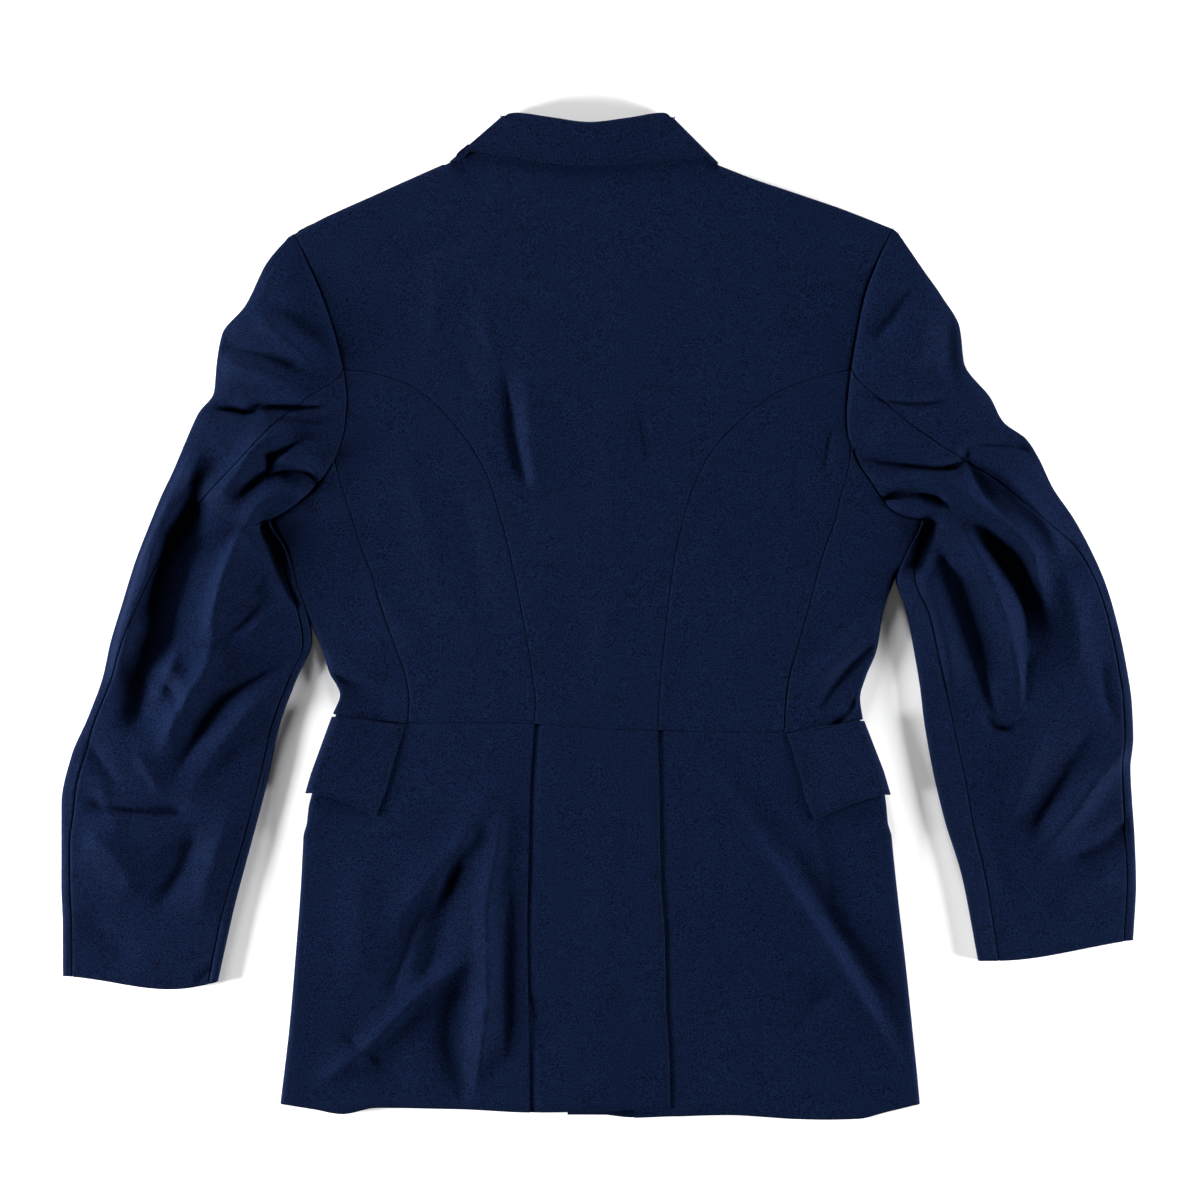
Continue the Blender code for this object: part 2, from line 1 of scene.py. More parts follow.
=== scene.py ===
"""A women's military dress tunic in navy barathea, laid flat on its buttoned front with its back up.

Lengths are in millimetres in the tunic's own measure, as a cutter would chalk it out: X runs to the
right from the centre back, Y up from the hem, and Z up from the table. "Left" is -X.
"""

import math

import bpy
import numpy as np
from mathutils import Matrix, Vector
from mathutils.geometry import delaunay_2d_cdt


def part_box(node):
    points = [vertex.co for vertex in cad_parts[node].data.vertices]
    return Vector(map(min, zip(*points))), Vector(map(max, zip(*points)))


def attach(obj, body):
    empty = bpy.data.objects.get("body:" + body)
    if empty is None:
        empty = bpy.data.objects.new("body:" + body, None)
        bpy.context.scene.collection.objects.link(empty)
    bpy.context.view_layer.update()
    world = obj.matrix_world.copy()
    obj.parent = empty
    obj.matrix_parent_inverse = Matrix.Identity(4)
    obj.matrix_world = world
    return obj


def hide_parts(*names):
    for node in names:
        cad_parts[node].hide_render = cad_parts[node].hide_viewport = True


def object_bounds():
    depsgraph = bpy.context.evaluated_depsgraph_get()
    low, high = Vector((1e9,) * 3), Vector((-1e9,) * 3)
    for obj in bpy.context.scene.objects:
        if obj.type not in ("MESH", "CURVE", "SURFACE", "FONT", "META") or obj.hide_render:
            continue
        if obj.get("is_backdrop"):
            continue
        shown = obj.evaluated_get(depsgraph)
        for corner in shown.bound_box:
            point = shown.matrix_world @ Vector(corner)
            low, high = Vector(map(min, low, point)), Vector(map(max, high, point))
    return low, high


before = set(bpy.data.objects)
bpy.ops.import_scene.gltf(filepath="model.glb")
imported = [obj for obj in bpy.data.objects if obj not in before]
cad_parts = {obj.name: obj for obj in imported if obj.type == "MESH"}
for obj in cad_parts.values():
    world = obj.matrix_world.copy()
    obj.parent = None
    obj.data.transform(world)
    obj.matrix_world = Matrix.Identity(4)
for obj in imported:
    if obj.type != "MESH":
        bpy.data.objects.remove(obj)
cad_low, cad_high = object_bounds()

# ---- Studio ---------------------------------------------------------------------------------
# A sheet of white paper under the tunic, a long lens straight above it, and soft boxes at the
# head of the table and at both sides, which rake across the cloth and bring out its folds.
MM = 0.001
MIDDLE = np.array((0.5, 362.4))  # the middle of the laid-out tunic in its own measure
VIEW_WIDTH = 864.0
VIEW_SHIFT = Vector((0.94, 12.7, 0))
CAMERA_HEIGHT = 3000.0
CLOTH_HEIGHT = 8.0  # the level at which the view is as wide as VIEW_WIDTH
PAPER_SIZE = 3.2  # in metres
PAPER_DROP = 0.0005  # in metres: the paper lies this far under the tunic
SENSOR = 36.0
SOFT_BOXES = (
    # name, x, y, z in metres, side, power in watts
    ("head_box", -0.3, 2.3, 0.55, 0.6, 100),
    ("left_box", -1.8, -0.35, 0.43, 0.5, 132),
    ("right_box", 1.8, -0.45, 0.43, 0.5, 106),
    ("top_box", 0.0, -0.3, 2.3, 1.6, 2),
)
SKY_STRENGTH = 0.04


def paint(colour):
    """An sRGB hex colour as linear red, green, blue and alpha."""
    parts = [int(colour[i : i + 2], 16) / 255 for i in (0, 2, 4)]
    return (*(p / 12.92 if p <= 0.04045 else ((p + 0.055) / 1.055) ** 2.4 for p in parts), 1.0)


def add_node(tree, kind, links=None, inputs=None, **settings):
    """Adds a node with its settings, its inputs' values and the links into it."""
    node = tree.nodes.new(kind)
    for key, value in settings.items():
        setattr(node, key, value)
    for key, value in (inputs or {}).items():
        node.inputs[key].default_value = value
    for key, socket in (links or {}).items():
        tree.links.new(socket, node.inputs[key])
    return node


def new_material(name):
    """A material with only a Principled BSDF and its output."""
    material = bpy.data.materials.new(name)
    material.use_nodes = True
    tree = material.node_tree
    tree.nodes.clear()
    shader = add_node(tree, "ShaderNodeBsdfPrincipled")
    add_node(tree, "ShaderNodeOutputMaterial", {"Surface": shader.outputs[0]})
    return material, tree, shader


# Matt paper: evenly white, with a tooth too fine to show
paper_white, _, paper_shader = new_material("matt_white_paper")
paper_shader.inputs["Base Color"].default_value = paint("F7F7F7")
paper_shader.inputs["Roughness"].default_value = 1.0
paper_shader.inputs["Specular IOR Level"].default_value = 0.0

middle = (cad_low + cad_high) / 2
middle.z = 0.0
paper_mesh = bpy.data.meshes.new("paper")
corner = PAPER_SIZE / 2
turns = ((-1, -1), (1, -1), (1, 1), (-1, 1))
paper_corners = [(x * corner, y * corner, -PAPER_DROP) for x, y in turns]
paper_mesh.from_pydata(paper_corners, [], [(0, 1, 2, 3)])
paper_mesh.materials.append(paper_white)
paper = bpy.data.objects.new("paper", paper_mesh)
bpy.context.scene.collection.objects.link(paper)
paper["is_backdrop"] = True

scene = bpy.context.scene
scene.view_settings.view_transform = "Standard"
camera_data = bpy.data.cameras.new("camera")
camera_data.sensor_width = SENSOR
camera_data.lens = SENSOR * (CAMERA_HEIGHT - CLOTH_HEIGHT) / VIEW_WIDTH
camera = bpy.data.objects.new("camera", camera_data)
camera.location = middle + VIEW_SHIFT * MM + Vector((0, 0, CAMERA_HEIGHT * MM))
scene.collection.objects.link(camera)
scene.camera = camera

for name, x, y, z, side, power in SOFT_BOXES:
    box_light = bpy.data.lights.new(name, "AREA")
    box_light.shape = "SQUARE"
    box_light.size = side
    box_light.energy = power
    box = bpy.data.objects.new(name, box_light)
    box.location = (x, y, z)
    box.rotation_euler = (-Vector((x, y, z))).to_track_quat("-Z", "Y").to_euler()
    scene.collection.objects.link(box)
world = bpy.data.worlds.new("studio")
world.use_nodes = True
world.node_tree.nodes["Background"].inputs["Color"].default_value = paint("FFFFFF")
world.node_tree.nodes["Background"].inputs["Strength"].default_value = SKY_STRENGTH
scene.world = world

# ---- Back: a centre panel and two side panels ----------------------------------------------
# Wool-blend barathea, cut in three: the princess seams curve up from the waist into the
# armholes and the side seams run under the arms. Pressed open, each seam is a fine groove.
CLOTH_WALL = 1.2
SEAM_HALF = 0.06  # each piece stops this far short of the seam line
GRID = 2.3  # spacing of the cloth's points
OUTLINE_STEP = 2.0
EDGE_RINGS = (0.5, 1.1, 1.9)  # rows of points along a panel's edge, in from it
RING_CLEAR = 0.85  # a ring's point closer to the edge than this share of its distance is dropped
ROW_SHARE = 0.866  # rows of a triangular grid, as a share of its spacing
CUT_MERGE = 0.01
SHARP_ANGLE = 55  # degrees
LEVEL_AT_SIDES = 6.8  # the back's upper face over the fronts
LAP_RISE = 3.2  # what the lapped fronts and their buttons add along the middle
LAP_REACH = 150.0
LAP_FLAT = 20.0  # half the width over which that rise is full
# The wave's diagonal bands lie 0.444 / scale apart. These ribs of 0.25 mm are too fine for a whole
# view, where they only roughen the light.
WEAVE_SCALE = 1 / 0.567
YARN_SCALE = 1200.0  # patches of 0.8 mm, about twice as coarse as real yarn so that they show
BLOOM_SCALE = 16.0  # broad patches of about 60 mm
FOLD_DEPTH = 1.9  # the heights in the tables of folds are multiplied by this
RIPPLES = (
    # direction in degrees, length, height
    (12, 61, 0.16),
    (71, 47, 0.12),
    (118, 83, 0.2),
    (152, 33, 0.07),
    (40, 24, 0.035),
)
RIPPLE_SWAY = 1.3  # radians by which a ripple wanders to its sides
RIPPLE_STRETCH = 2.3  # one wander is this many times as long as the ripple
FOLD_STEP = 6.0
FOLD_END = 0.22  # the share of a fold over which each end fades out
CREST = 1.45  # 2 would round a fold's crest, 1 would crease it sharply
LOW_FOLD = -4.0  # no trough in the back goes deeper


# Barathea: a close broken rib of dyed worsted, so it is dark and even, soft rather than shiny,
# with a fine grain and a low blue bloom where the light skims it
def make_barathea(name, deep, light):
    """Navy barathea between a deep colour in its hollows and a lighter one on its yarns."""
    material, tree, shader = new_material(name)
    shader.inputs["Roughness"].default_value = 0.72
    shader.inputs["Specular IOR Level"].default_value = 0.015
    shader.inputs["Sheen Weight"].default_value = 0.004
    shader.inputs["Sheen Roughness"].default_value = 0.4
    shader.inputs["Sheen Tint"].default_value = paint("8C9CC8")
    grain = add_node(tree, "ShaderNodeUVMap", uv_map="weave")
    place = add_node(tree, "ShaderNodeTexCoord")
    rib = add_node(
        tree,
        "ShaderNodeTexWave",
        {"Vector": grain.outputs["UV"]},
        {"Scale": WEAVE_SCALE, "Distortion": 1.2, "Detail": 2.0, "Detail Scale": 1.5},
        wave_type="BANDS",
        bands_direction="DIAGONAL",
    )
    yarn = add_node(
        tree,
        "ShaderNodeTexNoise",
        {"Vector": place.outputs["Object"]},
        {"Scale": YARN_SCALE, "Detail": 1.0, "Roughness": 0.5},
    )
    bloom = add_node(
        tree,
        "ShaderNodeTexNoise",
        {"Vector": place.outputs["Object"]},
        {"Scale": BLOOM_SCALE, "Detail": 2.0, "Roughness": 0.5},
    )
    surface = add_node(
        tree,
        "ShaderNodeMath",
        {0: yarn.outputs["Fac"], 1: rib.outputs["Fac"], 2: rib.outputs["Fac"]},
        operation="MULTIPLY_ADD",
    )
    shade = add_node(
        tree,
        "ShaderNodeMapRange",
        {"Value": yarn.outputs["Fac"]},
        {"From Min": 0.25, "From Max": 0.75, "To Min": -0.65, "To Max": 1.45},
    )
    tone = add_node(
        tree,
        "ShaderNodeMath",
        {0: bloom.outputs["Fac"], 2: shade.outputs["Result"]},
        {1: 0.15},
        operation="MULTIPLY_ADD",
    )
    colour = add_node(
        tree,
        "ShaderNodeMix",
        {"Factor": tone.outputs[0]},
        {"A": paint(deep), "B": paint(light)},
        data_type="RGBA",
    )
    tree.links.new(colour.outputs["Result"], shader.inputs["Base Color"])
    bump = add_node(
        tree,
        "ShaderNodeBump",
        {"Height": surface.outputs[0]},
        {"Strength": 0.35, "Distance": 0.00012},
    )
    tree.links.new(bump.outputs["Normal"], shader.inputs["Normal"])
    return material


barathea = make_barathea("navy_barathea", "030515", "0B1831")
pressed_barathea = make_barathea("pressed_navy_barathea", "030514", "0B1730")


def through(places, values, at):
    """A smooth line through the values that never overshoots them, read at each place."""
    places, values = np.asarray(places, float), np.asarray(values, float)
    slope = np.diff(values) / np.diff(places)
    tangent = np.zeros(len(places))
    tangent[0], tangent[-1] = slope[0], slope[-1]
    same = slope[:-1] * slope[1:] > 0
    product, total = slope[:-1] * slope[1:], slope[:-1] + slope[1:]
    tangent[1:-1][same] = 2 * product[same] / total[same]
    at = np.asarray(at, float)
    i = np.clip(np.searchsorted(places, at) - 1, 0, len(places) - 2)
    run = places[i + 1] - places[i]
    t = np.clip((at - places[i]) / run, 0, 1)
    start = (1 + 2 * t) * (1 - t) ** 2 * values[i] + t * (1 - t) ** 2 * run * tangent[i]
    return start + t * t * (3 - 2 * t) * values[i + 1] + t * t * (t - 1) * run * tangent[i + 1]


def smooth_run(points, step=OUTLINE_STEP):
    """A smooth curve through points, which may carry more than x and y, in even steps."""
    points = np.asarray(points, float)
    along = np.concatenate(([0], np.cumsum(np.hypot(*np.diff(points[:, :2], axis=0).T))))
    at = np.linspace(0, along[-1], max(2, round(along[-1] / step) + 1))
    return np.stack([through(along, column, at) for column in points.T], axis=1)


def ease(t):
    """0 up to 0, 1 from 1 on, and smooth between."""
    t = np.clip(t, 0, 1)
    return t * t * (3 - 2 * t)


def nearest(x, y, line):
    """For each point: its distance to a line, the line's third value there, and its side."""
    best = np.full(np.shape(x), np.inf)
    value, side = np.zeros(np.shape(x)), np.zeros(np.shape(x))
    for start, end in zip(line, line[1:]):
        run = end[:2] - start[:2]
        t = np.clip(((x - start[0]) * run[0] + (y - start[1]) * run[1]) / (run @ run), 0, 1)
        dx, dy = x - start[0] - t * run[0], y - start[1] - t * run[1]
        away = np.hypot(dx, dy)
        closer = away < best
        best = np.where(closer, away, best)
        side = np.where(closer, run[0] * dy - run[1] * dx, side)
        if len(start) > 2:
            value = np.where(closer, start[2] + t * (end[2] - start[2]), value)
    return best, value, side


def around(x, y, line, margin):
    """Which points lie in the line's box, widened by the margin."""
    low, high = line[:, :2].min(0) - margin, line[:, :2].max(0) + margin
    return (x > low[0]) & (x < high[0]) & (y > low[1]) & (y < high[1])


def ripples(x, y):
    """The faint unevenness of worn cloth between its folds."""
    total = np.zeros(np.shape(x))
    for turn, length, height in RIPPLES:
        angle = math.radians(turn)
        along = x * math.cos(angle) + y * math.sin(angle)
        across = y * math.cos(angle) - x * math.sin(angle)
        sway = RIPPLE_SWAY * np.sin(math.tau * across / (RIPPLE_STRETCH * length))
        total += height * np.sin(math.tau * along / length + sway)
    return total


def folds_at(x, y, folds, depth=FOLD_DEPTH):
    """What the listed folds add to the cloth's height."""
    total = np.zeros(np.shape(x))
    for left, right, path in folds:
        line = smooth_run(path, FOLD_STEP)
        share = np.linspace(0, 1, len(line))
        line[:, 2] *= ease(share / FOLD_END) * ease((1 - share) / FOLD_END)
        here = around(x, y, line, 3 * max(left, right))
        away, height, side = nearest(x[here], y[here], line)
        total[here] += height * np.exp(-((away / np.where(side > 0, left, right)) ** CREST))
    return total * depth + ripples(x, y)


def dip(x, y, seams):
    """How far the cloth rolls down into its seams."""
    down = np.zeros(np.shape(x))
    for line, depth, reach in seams:
        here = around(x, y, line, reach)
        share = np.clip(1 - nearest(x[here], y[here], line[:, :2])[0] / reach, 0, 1)
        down[here] = np.maximum(down[here], depth * (1 - np.sqrt(1 - share * share)))
    return down


def inside(x, y, outline):
    """Which points lie inside a closed outline."""
    odd = np.zeros(np.shape(x), bool)
    for (x0, y0), (x1, y1) in zip(outline, np.roll(outline, -1, axis=0)):
        if y0 != y1:
            odd ^= ((y0 > y) != (y1 > y)) & (x < x0 + (y - y0) * (x1 - x0) / (y1 - y0))
    return odd


def inward(outline, distance):
    """A closed outline's points moved in by a distance."""
    before, after = np.roll(outline, 1, axis=0), np.roll(outline, -1, axis=0)
    run = after - before
    normal = np.stack((-run[:, 1], run[:, 0]), axis=1) / np.hypot(*run.T)[:, None]
    area = np.sum(outline[:, 0] * after[:, 1] - outline[:, 1] * after[:, 0])
    return outline + normal * distance * np.sign(area)


def cut_panel(*edges):
    """Points and triangles of a flat panel inside a closed outline, finer along its edges."""
    outline = np.concatenate([edge[:-1] for edge in edges])
    outline = inward(outline, SEAM_HALF)
    closed = np.concatenate((outline, outline[:1]))
    loose = []
    for distance in EDGE_RINGS:
        ring = inward(outline, distance)
        away = nearest(ring[:, 0], ring[:, 1], closed)[0]
        clear = away > RING_CLEAR * distance
        loose.append(ring[clear & inside(ring[:, 0], ring[:, 1], outline)])
    low, high = outline.min(0), outline.max(0)
    columns = np.arange(low[0], high[0], GRID)
    rows = np.arange(low[1], high[1], GRID * ROW_SHARE)
    xs, ys = np.meshgrid(columns, rows, indexing="ij")
    xs[:, ::2] += GRID / 2
    xs, ys = xs.ravel(), ys.ravel()
    kept = inside(xs, ys, outline)
    xs, ys = xs[kept], ys[kept]
    kept = nearest(xs, ys, closed)[0] > EDGE_RINGS[-1] + GRID / 3
    loose.append(np.stack((xs[kept], ys[kept]), axis=1))
    flat = np.concatenate([outline, *loose])
    count = len(outline)
    sides = [(i, (i + 1) % count) for i in range(count)]
    points, _, faces, *_ = delaunay_2d_cdt([Vector(p) for p in flat], sides, [], 1, CUT_MERGE)
    return np.array([tuple(p) for p in points]), faces


def in_frame(points):
    """Points in the tunic's own measure, as places in the frame, in metres."""
    placed = np.array(points, float)
    placed[:, :2] -= MIDDLE
    return placed * MM + np.array(middle)


def settle_modifiers(piece, name):
    """Gives a piece the plain mesh that its modifiers make, and takes them off."""
    evaluated = piece.evaluated_get(bpy.context.evaluated_depsgraph_get())
    piece.data = bpy.data.meshes.new_from_object(evaluated)
    piece.modifiers.clear()
    piece.data.name = name
    piece.data.shade_smooth()


def make_cloth(name, points, faces, slot="tunic_cloth", grain=None):
    """Turns a surface into a wall of cloth in the frame and says what it is cut from."""
    mesh = bpy.data.meshes.new(name)
    cells = [tuple(int(i) for i in face) for face in faces]
    mesh.from_pydata(in_frame(points).tolist(), [], cells)
    corners = np.zeros(len(mesh.loops), int)
    mesh.loops.foreach_get("vertex_index", corners)
    weave = mesh.uv_layers.new(name="weave")
    flat = points[:, :2] if grain is None else grain
    weave.data.foreach_set("uv", flat[corners].astype(np.float32).ravel())
    # the highest face has to look up, so that the wall grows inwards from the outer face
    highest = max(mesh.polygons, key=lambda face: face.center.z)
    if highest.normal.z < 0:
        mesh.flip_normals()
    piece = bpy.data.objects.new(name + "_cloth", mesh)
    scene.collection.objects.link(piece)
    mesh.materials.append(barathea if slot == "tunic_cloth" else pressed_barathea)
    wall = piece.modifiers.new("wall", "SOLIDIFY")
    wall.thickness = CLOTH_WALL * MM
    wall.offset = -1
    settle_modifiers(piece, name)
    piece.data.set_sharp_from_angle(angle=math.radians(SHARP_ANGLE))
    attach(piece, "root")
    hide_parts(name)


def rolled(x, y, z, seams):
    """Points of a surface whose edges have rolled into the seams."""
    return np.stack((x, y, z - dip(x, y, seams)), axis=-1)


LEFT_PRINCESS = (
    (-46, 286), (-45, 303), (-47, 318), (-50, 339), (-55, 367), (-64, 411), (-70, 433), (-78, 460),
    (-91, 485), (-105, 503), (-117, 516), (-127, 524), (-136, 530), (-152, 536), (-169, 540),
    (-183, 541),
)
RIGHT_PRINCESS = (
    (43, 281.5), (44, 303), (45, 318), (47, 339), (50, 367), (56, 411), (61, 433), (70, 460),
    (84, 485), (101, 503), (117, 516), (128, 524), (143, 531), (159, 536), (171, 539), (182, 541),
)
LEFT_SIDE_SEAM = (
    (-137, 286.5), (-136, 303), (-138, 318), (-145, 339), (-155, 367), (-162, 390), (-170, 411),
    (-177, 433), (-182, 448), (-186, 460), (-190, 475),
)
RIGHT_SIDE_SEAM = (
    (134, 280), (135, 303), (137, 318), (143, 339), (151, 367), (157, 390), (163, 411), (171, 433),
    (174, 448), (178, 460), (183, 484),
)
# Each armhole from the side seam up to the shoulder point
LEFT_ARMHOLE = ((-190, 475), (-186, 485), (-182, 503), (-181, 523), (-183, 541))
LEFT_ARMHOLE_TOP = ((-183, 541), (-191, 571), (-200, 597), (-209, 618), (-219, 639))
RIGHT_ARMHOLE = ((183, 484), (180, 494), (179, 510), (180, 523), (182, 541))
RIGHT_ARMHOLE_TOP = ((182, 541), (187, 571), (193, 597), (201, 618), (212, 643))
LEFT_UNDERARM = ((-190, 475), (-200, 460), (-213, 448), (-226, 438), (-235, 433))
RIGHT_UNDERARM = ((183, 484), (187, 473), (196, 460), (204, 448), (215, 438), (232, 433))
LEFT_SHOULDER = ((-219, 639), (-199, 650), (-168, 664), (-137, 678), (-106, 691), (-92, 701))
RIGHT_SHOULDER = ((212, 643), (176, 657), (144, 668), (114, 678), (88, 688), (74, 701))
WAIST_SEAM = (
    (-195, 294), (-177, 290), (-160, 287.5), (-137, 286.5), (-75, 287), (-46, 286), (-19, 284),
    (18, 282), (43, 281.5), (104, 280), (134, 280), (158, 282), (177, 286), (195, 290),
)
BACK_FOLDS = (
    # width on its left, width on its right, then x, y and height along it
    (4, 4, ((-70, 551, -0.8), (-66, 531, -1.2), (-63, 510, -2.6), (-58, 480, -3.4), (-49, 449, -1.4))),
    (12, 6, ((-56, 548, 0.8), (-50, 515, 1.8), (-48, 482, 2.0), (-38, 445, 1.0))),
    (5, 5, ((27, 514, -1.0), (31, 496, -1.6), (35, 468, -1.2))),
    (7, 7, ((-106, 566, -0.9), (-96, 545, -1.3), (-86, 520, -0.9))),
    (8, 5, ((-88, 596, 0.6), (-80, 566, 1.0), (-70, 536, 0.7))),
    (9, 9, ((-176, 404, 0.9), (-150, 372, 1.3), (-120, 330, 0.8))),
    (10, 10, ((-120, 400, 0.7), (-92, 356, 1.0), (-66, 310, 0.6))),
    (10, 10, ((150, 400, 0.8), (120, 366, 1.1), (92, 320, 0.6))),
    (8, 8, ((12, 380, 0.6), (4, 350, 0.9), (-2, 318, 0.5))),
    (7, 7, ((36, 404, 0.6), (52, 424, 0.9), (70, 440, 0.5))),
    (14, 14, ((0, 520, 1.0), (10, 470, 1.2), (12, 400, 0.8))),
    (9, 6, ((-140, 605, -0.8), (-138, 620, -1.3), (-122, 626, -1.5), (-85, 638, -0.8))),
    (11, 9, ((-128, 606, 1.2), (-116, 596, 1.4), (-120, 560, 0.8))),
    (12, 12, ((-150, 500, 1.0), (-128, 440, 1.4), (-112, 380, 1.0))),
    (9, 9, ((-104, 470, -0.9), (-92, 420, -1.1), (-82, 360, -0.6))),
    (4, 4, ((168, 500, -1.0), (166, 490, -1.6), (162, 466, -1.2))),
    (6, 6, ((143, 490, -0.9), (141, 460, -1.2), (137, 428, -0.8))),
    (11, 8, ((210, 372, 1.8), (185, 346, 2.6), (145, 311, 1.6))),
    (5, 6, ((204, 348, -1.8), (181, 326, -2.6), (154, 293, -1.6))),
    (4, 4, ((192, 306, -1.4), (176, 290, -1.8), (168, 284, -1.0))),
    (4, 4, ((-200, 317, -2.0), (-178, 314, -2.2), (-160, 311, -1.0))),
    (9, 9, ((-186, 303, -1.6), (-168, 301, -1.8), (-150, 303, -1.0))),
    (10, 10, ((-200, 335, 1.4), (-178, 328, 1.6), (-150, 322, 0.6))),
    (14, 14, ((-20, 400, -0.8), (-14, 350, -1.0), (-16, 300, -0.6))),
    (16, 16, ((96, 470, 1.0), (88, 420, 1.2), (78, 350, 0.8))),
    (22, 22, ((60, 640, 0.9), (90, 600, 1.2), (120, 560, 0.8))),
    (18, 18, ((-30, 640, -0.7), (-10, 600, -0.9), (0, 560, -0.6))),
)

seam_lines = {}
for seam_name, seam_points in (
    ("left_princess", LEFT_PRINCESS),
    ("right_princess", RIGHT_PRINCESS),
    ("left_side", LEFT_SIDE_SEAM),
    ("right_side", RIGHT_SIDE_SEAM),
    ("left_armhole", LEFT_ARMHOLE),
    ("left_armhole_top", LEFT_ARMHOLE_TOP),
    ("right_armhole", RIGHT_ARMHOLE),
    ("right_armhole_top", RIGHT_ARMHOLE_TOP),
    ("left_underarm", LEFT_UNDERARM),
    ("right_underarm", RIGHT_UNDERARM),
    ("left_shoulder", LEFT_SHOULDER),
    ("right_shoulder", RIGHT_SHOULDER),
    ("waist", WAIST_SEAM),
):
    seam_lines[seam_name] = smooth_run(seam_points)
FINE_SEAM = (1.3, 1.6)  # depth and reach of a pressed seam's groove
WAIST_GROOVE = (1.1, 2.2)
ARMHOLE_GROOVE = (1.8, 2.6)
SHOULDER_EDGE = (3.6, 4.6)


def groove_of(seam_name):
    """The depth and reach of the groove along a seam."""
    if "arm" in seam_name:
        return ARMHOLE_GROOVE
    if "shoulder" in seam_name:
        return SHOULDER_EDGE
    return WAIST_GROOVE if seam_name == "waist" else FINE_SEAM


back_seams = [(line, *groove_of(seam_name)) for seam_name, line in seam_lines.items()]


def back_height(x, y):
    """The upper face of the back and skirt, before the edges roll into the seams."""
    level = LEVEL_AT_SIDES + LAP_RISE * ease((LAP_REACH - np.abs(x)) / (LAP_REACH - LAP_FLAT))
    folds = folds_at(x, y, BACK_FOLDS)
    return level + np.where(folds < 0, LOW_FOLD * np.tanh(folds / LOW_FOLD), folds)


def waist_run(start, end):
    """The waist seam from one x to another."""
    x = np.linspace(start, end, max(2, round(abs(end - start) / OUTLINE_STEP)))
    return np.stack((x, through(*zip(*WAIST_SEAM), x)), axis=1)


neck_edge = smooth_run((seam_lines["right_shoulder"][-1], seam_lines["left_shoulder"][-1]))
back_panels = (
    # name, outline, cut width and length, area
    (
        "back_centre",
        (
            waist_run(-46, 43),
            seam_lines["right_princess"],
            seam_lines["right_armhole_top"],
            seam_lines["right_shoulder"],
            neck_edge,
            seam_lines["left_shoulder"][::-1],
            seam_lines["left_armhole_top"][::-1],
            seam_lines["left_princess"][::-1],
        ),
        (432, 420),
        94000,
    ),
    (
        "back_side_left",
        (
            waist_run(-137, -46),
            seam_lines["left_princess"],
            seam_lines["left_armhole"][::-1],
            seam_lines["left_side"][::-1],
        ),
        (145, 256),
        23700,
    ),
    (
        "back_side_right",
        (
            waist_run(43, 134),
            seam_lines["right_side"],
            seam_lines["right_armhole"],
            seam_lines["right_princess"][::-1],
        ),
        (140, 262),
        24400,
    ),
)
for name, outline, cut, area in back_panels:
    flat_points, triangles = cut_panel(*outline)
    x, y = flat_points.T
    points = rolled(x, y, back_height(x, y), back_seams)
    make_cloth(name, points, triangles)

# ---- Fronts --------------------------------------------------------------------------------
# The buttoned fronts lie face down under the back. Each comes up round the side fold to the
# side seam; the right one laps over the left on the wearer, so it is the lower one here.
FOLD_TOP = 7.6  # where the cloth turns over a side fold
UNDERARM = 433.0
WAIST = 287.0
NECK = 689.0
BUTTON_LIFT = 2.8  # the buttons carry the lapped edges
LAYER = 1.9
COLLAR_LIFT = 2.2  # the collar's points carry the neck edges
FRONT_LAP = 22.0
TURN_STEPS = 9
ROW_AT_SEAM_TOP = 0.1  # a row this far under the side seam's top closes its corner
NECK_CURVE = (590, 28, 8)  # from this height, over this distance, both front edges lean to -X
FRONT_COLUMNS = 36
EDGE_EASE = 60.0  # how far from the waist or hem the rows take up its curve
LEFT_EDGE = (
    (287, -191), (303, -186), (311, -189), (318, -193), (339, -199), (367, -211), (390, -219),
    (411, -225), (433, -235), (438, -226), (448, -213), (460, -200), (473, -191), (485, -186),
    (503, -182), (523, -181), (541, -183), (571, -191), (597, -200), (618, -209), (638, -219),
    (650, -199), (664, -168), (678, -137), (689, -112),
)
RIGHT_EDGE = (
    (287, 191), (303, 189), (318, 193), (339, 201), (367, 206), (390, 214), (411, 224), (433, 232),
    (438, 215), (448, 204), (460, 196), (473, 187), (485, 182), (503, 179), (523, 180), (541, 181),
    (571, 187), (597, 193), (618, 201), (640, 211), (650, 192), (664, 155), (678, 114), (689, 86),
)
FRONT_EDGE = (
    # height, distance from the middle, negative where it laps past it
    (287, -22), (590, -22), (610, -2), (618, 25), (638, 35), (650, 44), (664, 55), (678, 66),
    (689, 72),
)
FRONT_FOLDS = (
    (12, 12, ((-150, 520, 1.2), (-130, 440, 1.6), (-150, 360, 1.0))),
    (10, 10, ((-80, 560, 0.9), (-100, 500, 1.2), (-96, 420, 0.8))),
    (12, 12, ((150, 500, 1.3), (120, 430, 1.5), (130, 350, 0.9))),
    (9, 9, ((90, 600, 0.9), (110, 540, 1.1), (104, 470, 0.8))),
    (12, 9, ((-180, 120, 1.2), (-140, 180, 1.5), (-110, 240, 0.8))),
    (12, 9, ((170, 60, 1.2), (140, 130, 1.6), (120, 210, 0.8))),
    (9, 12, ((-90, 40, 0.8), (-80, 110, 1.2), (-84, 180, 0.8))),
)


def plateau(value, low, high, ramp):
    """1 between low and high, easing to 0 over the ramp on each side."""
    return ease((value - low) / ramp + 1) * ease((high - value) / ramp + 1)


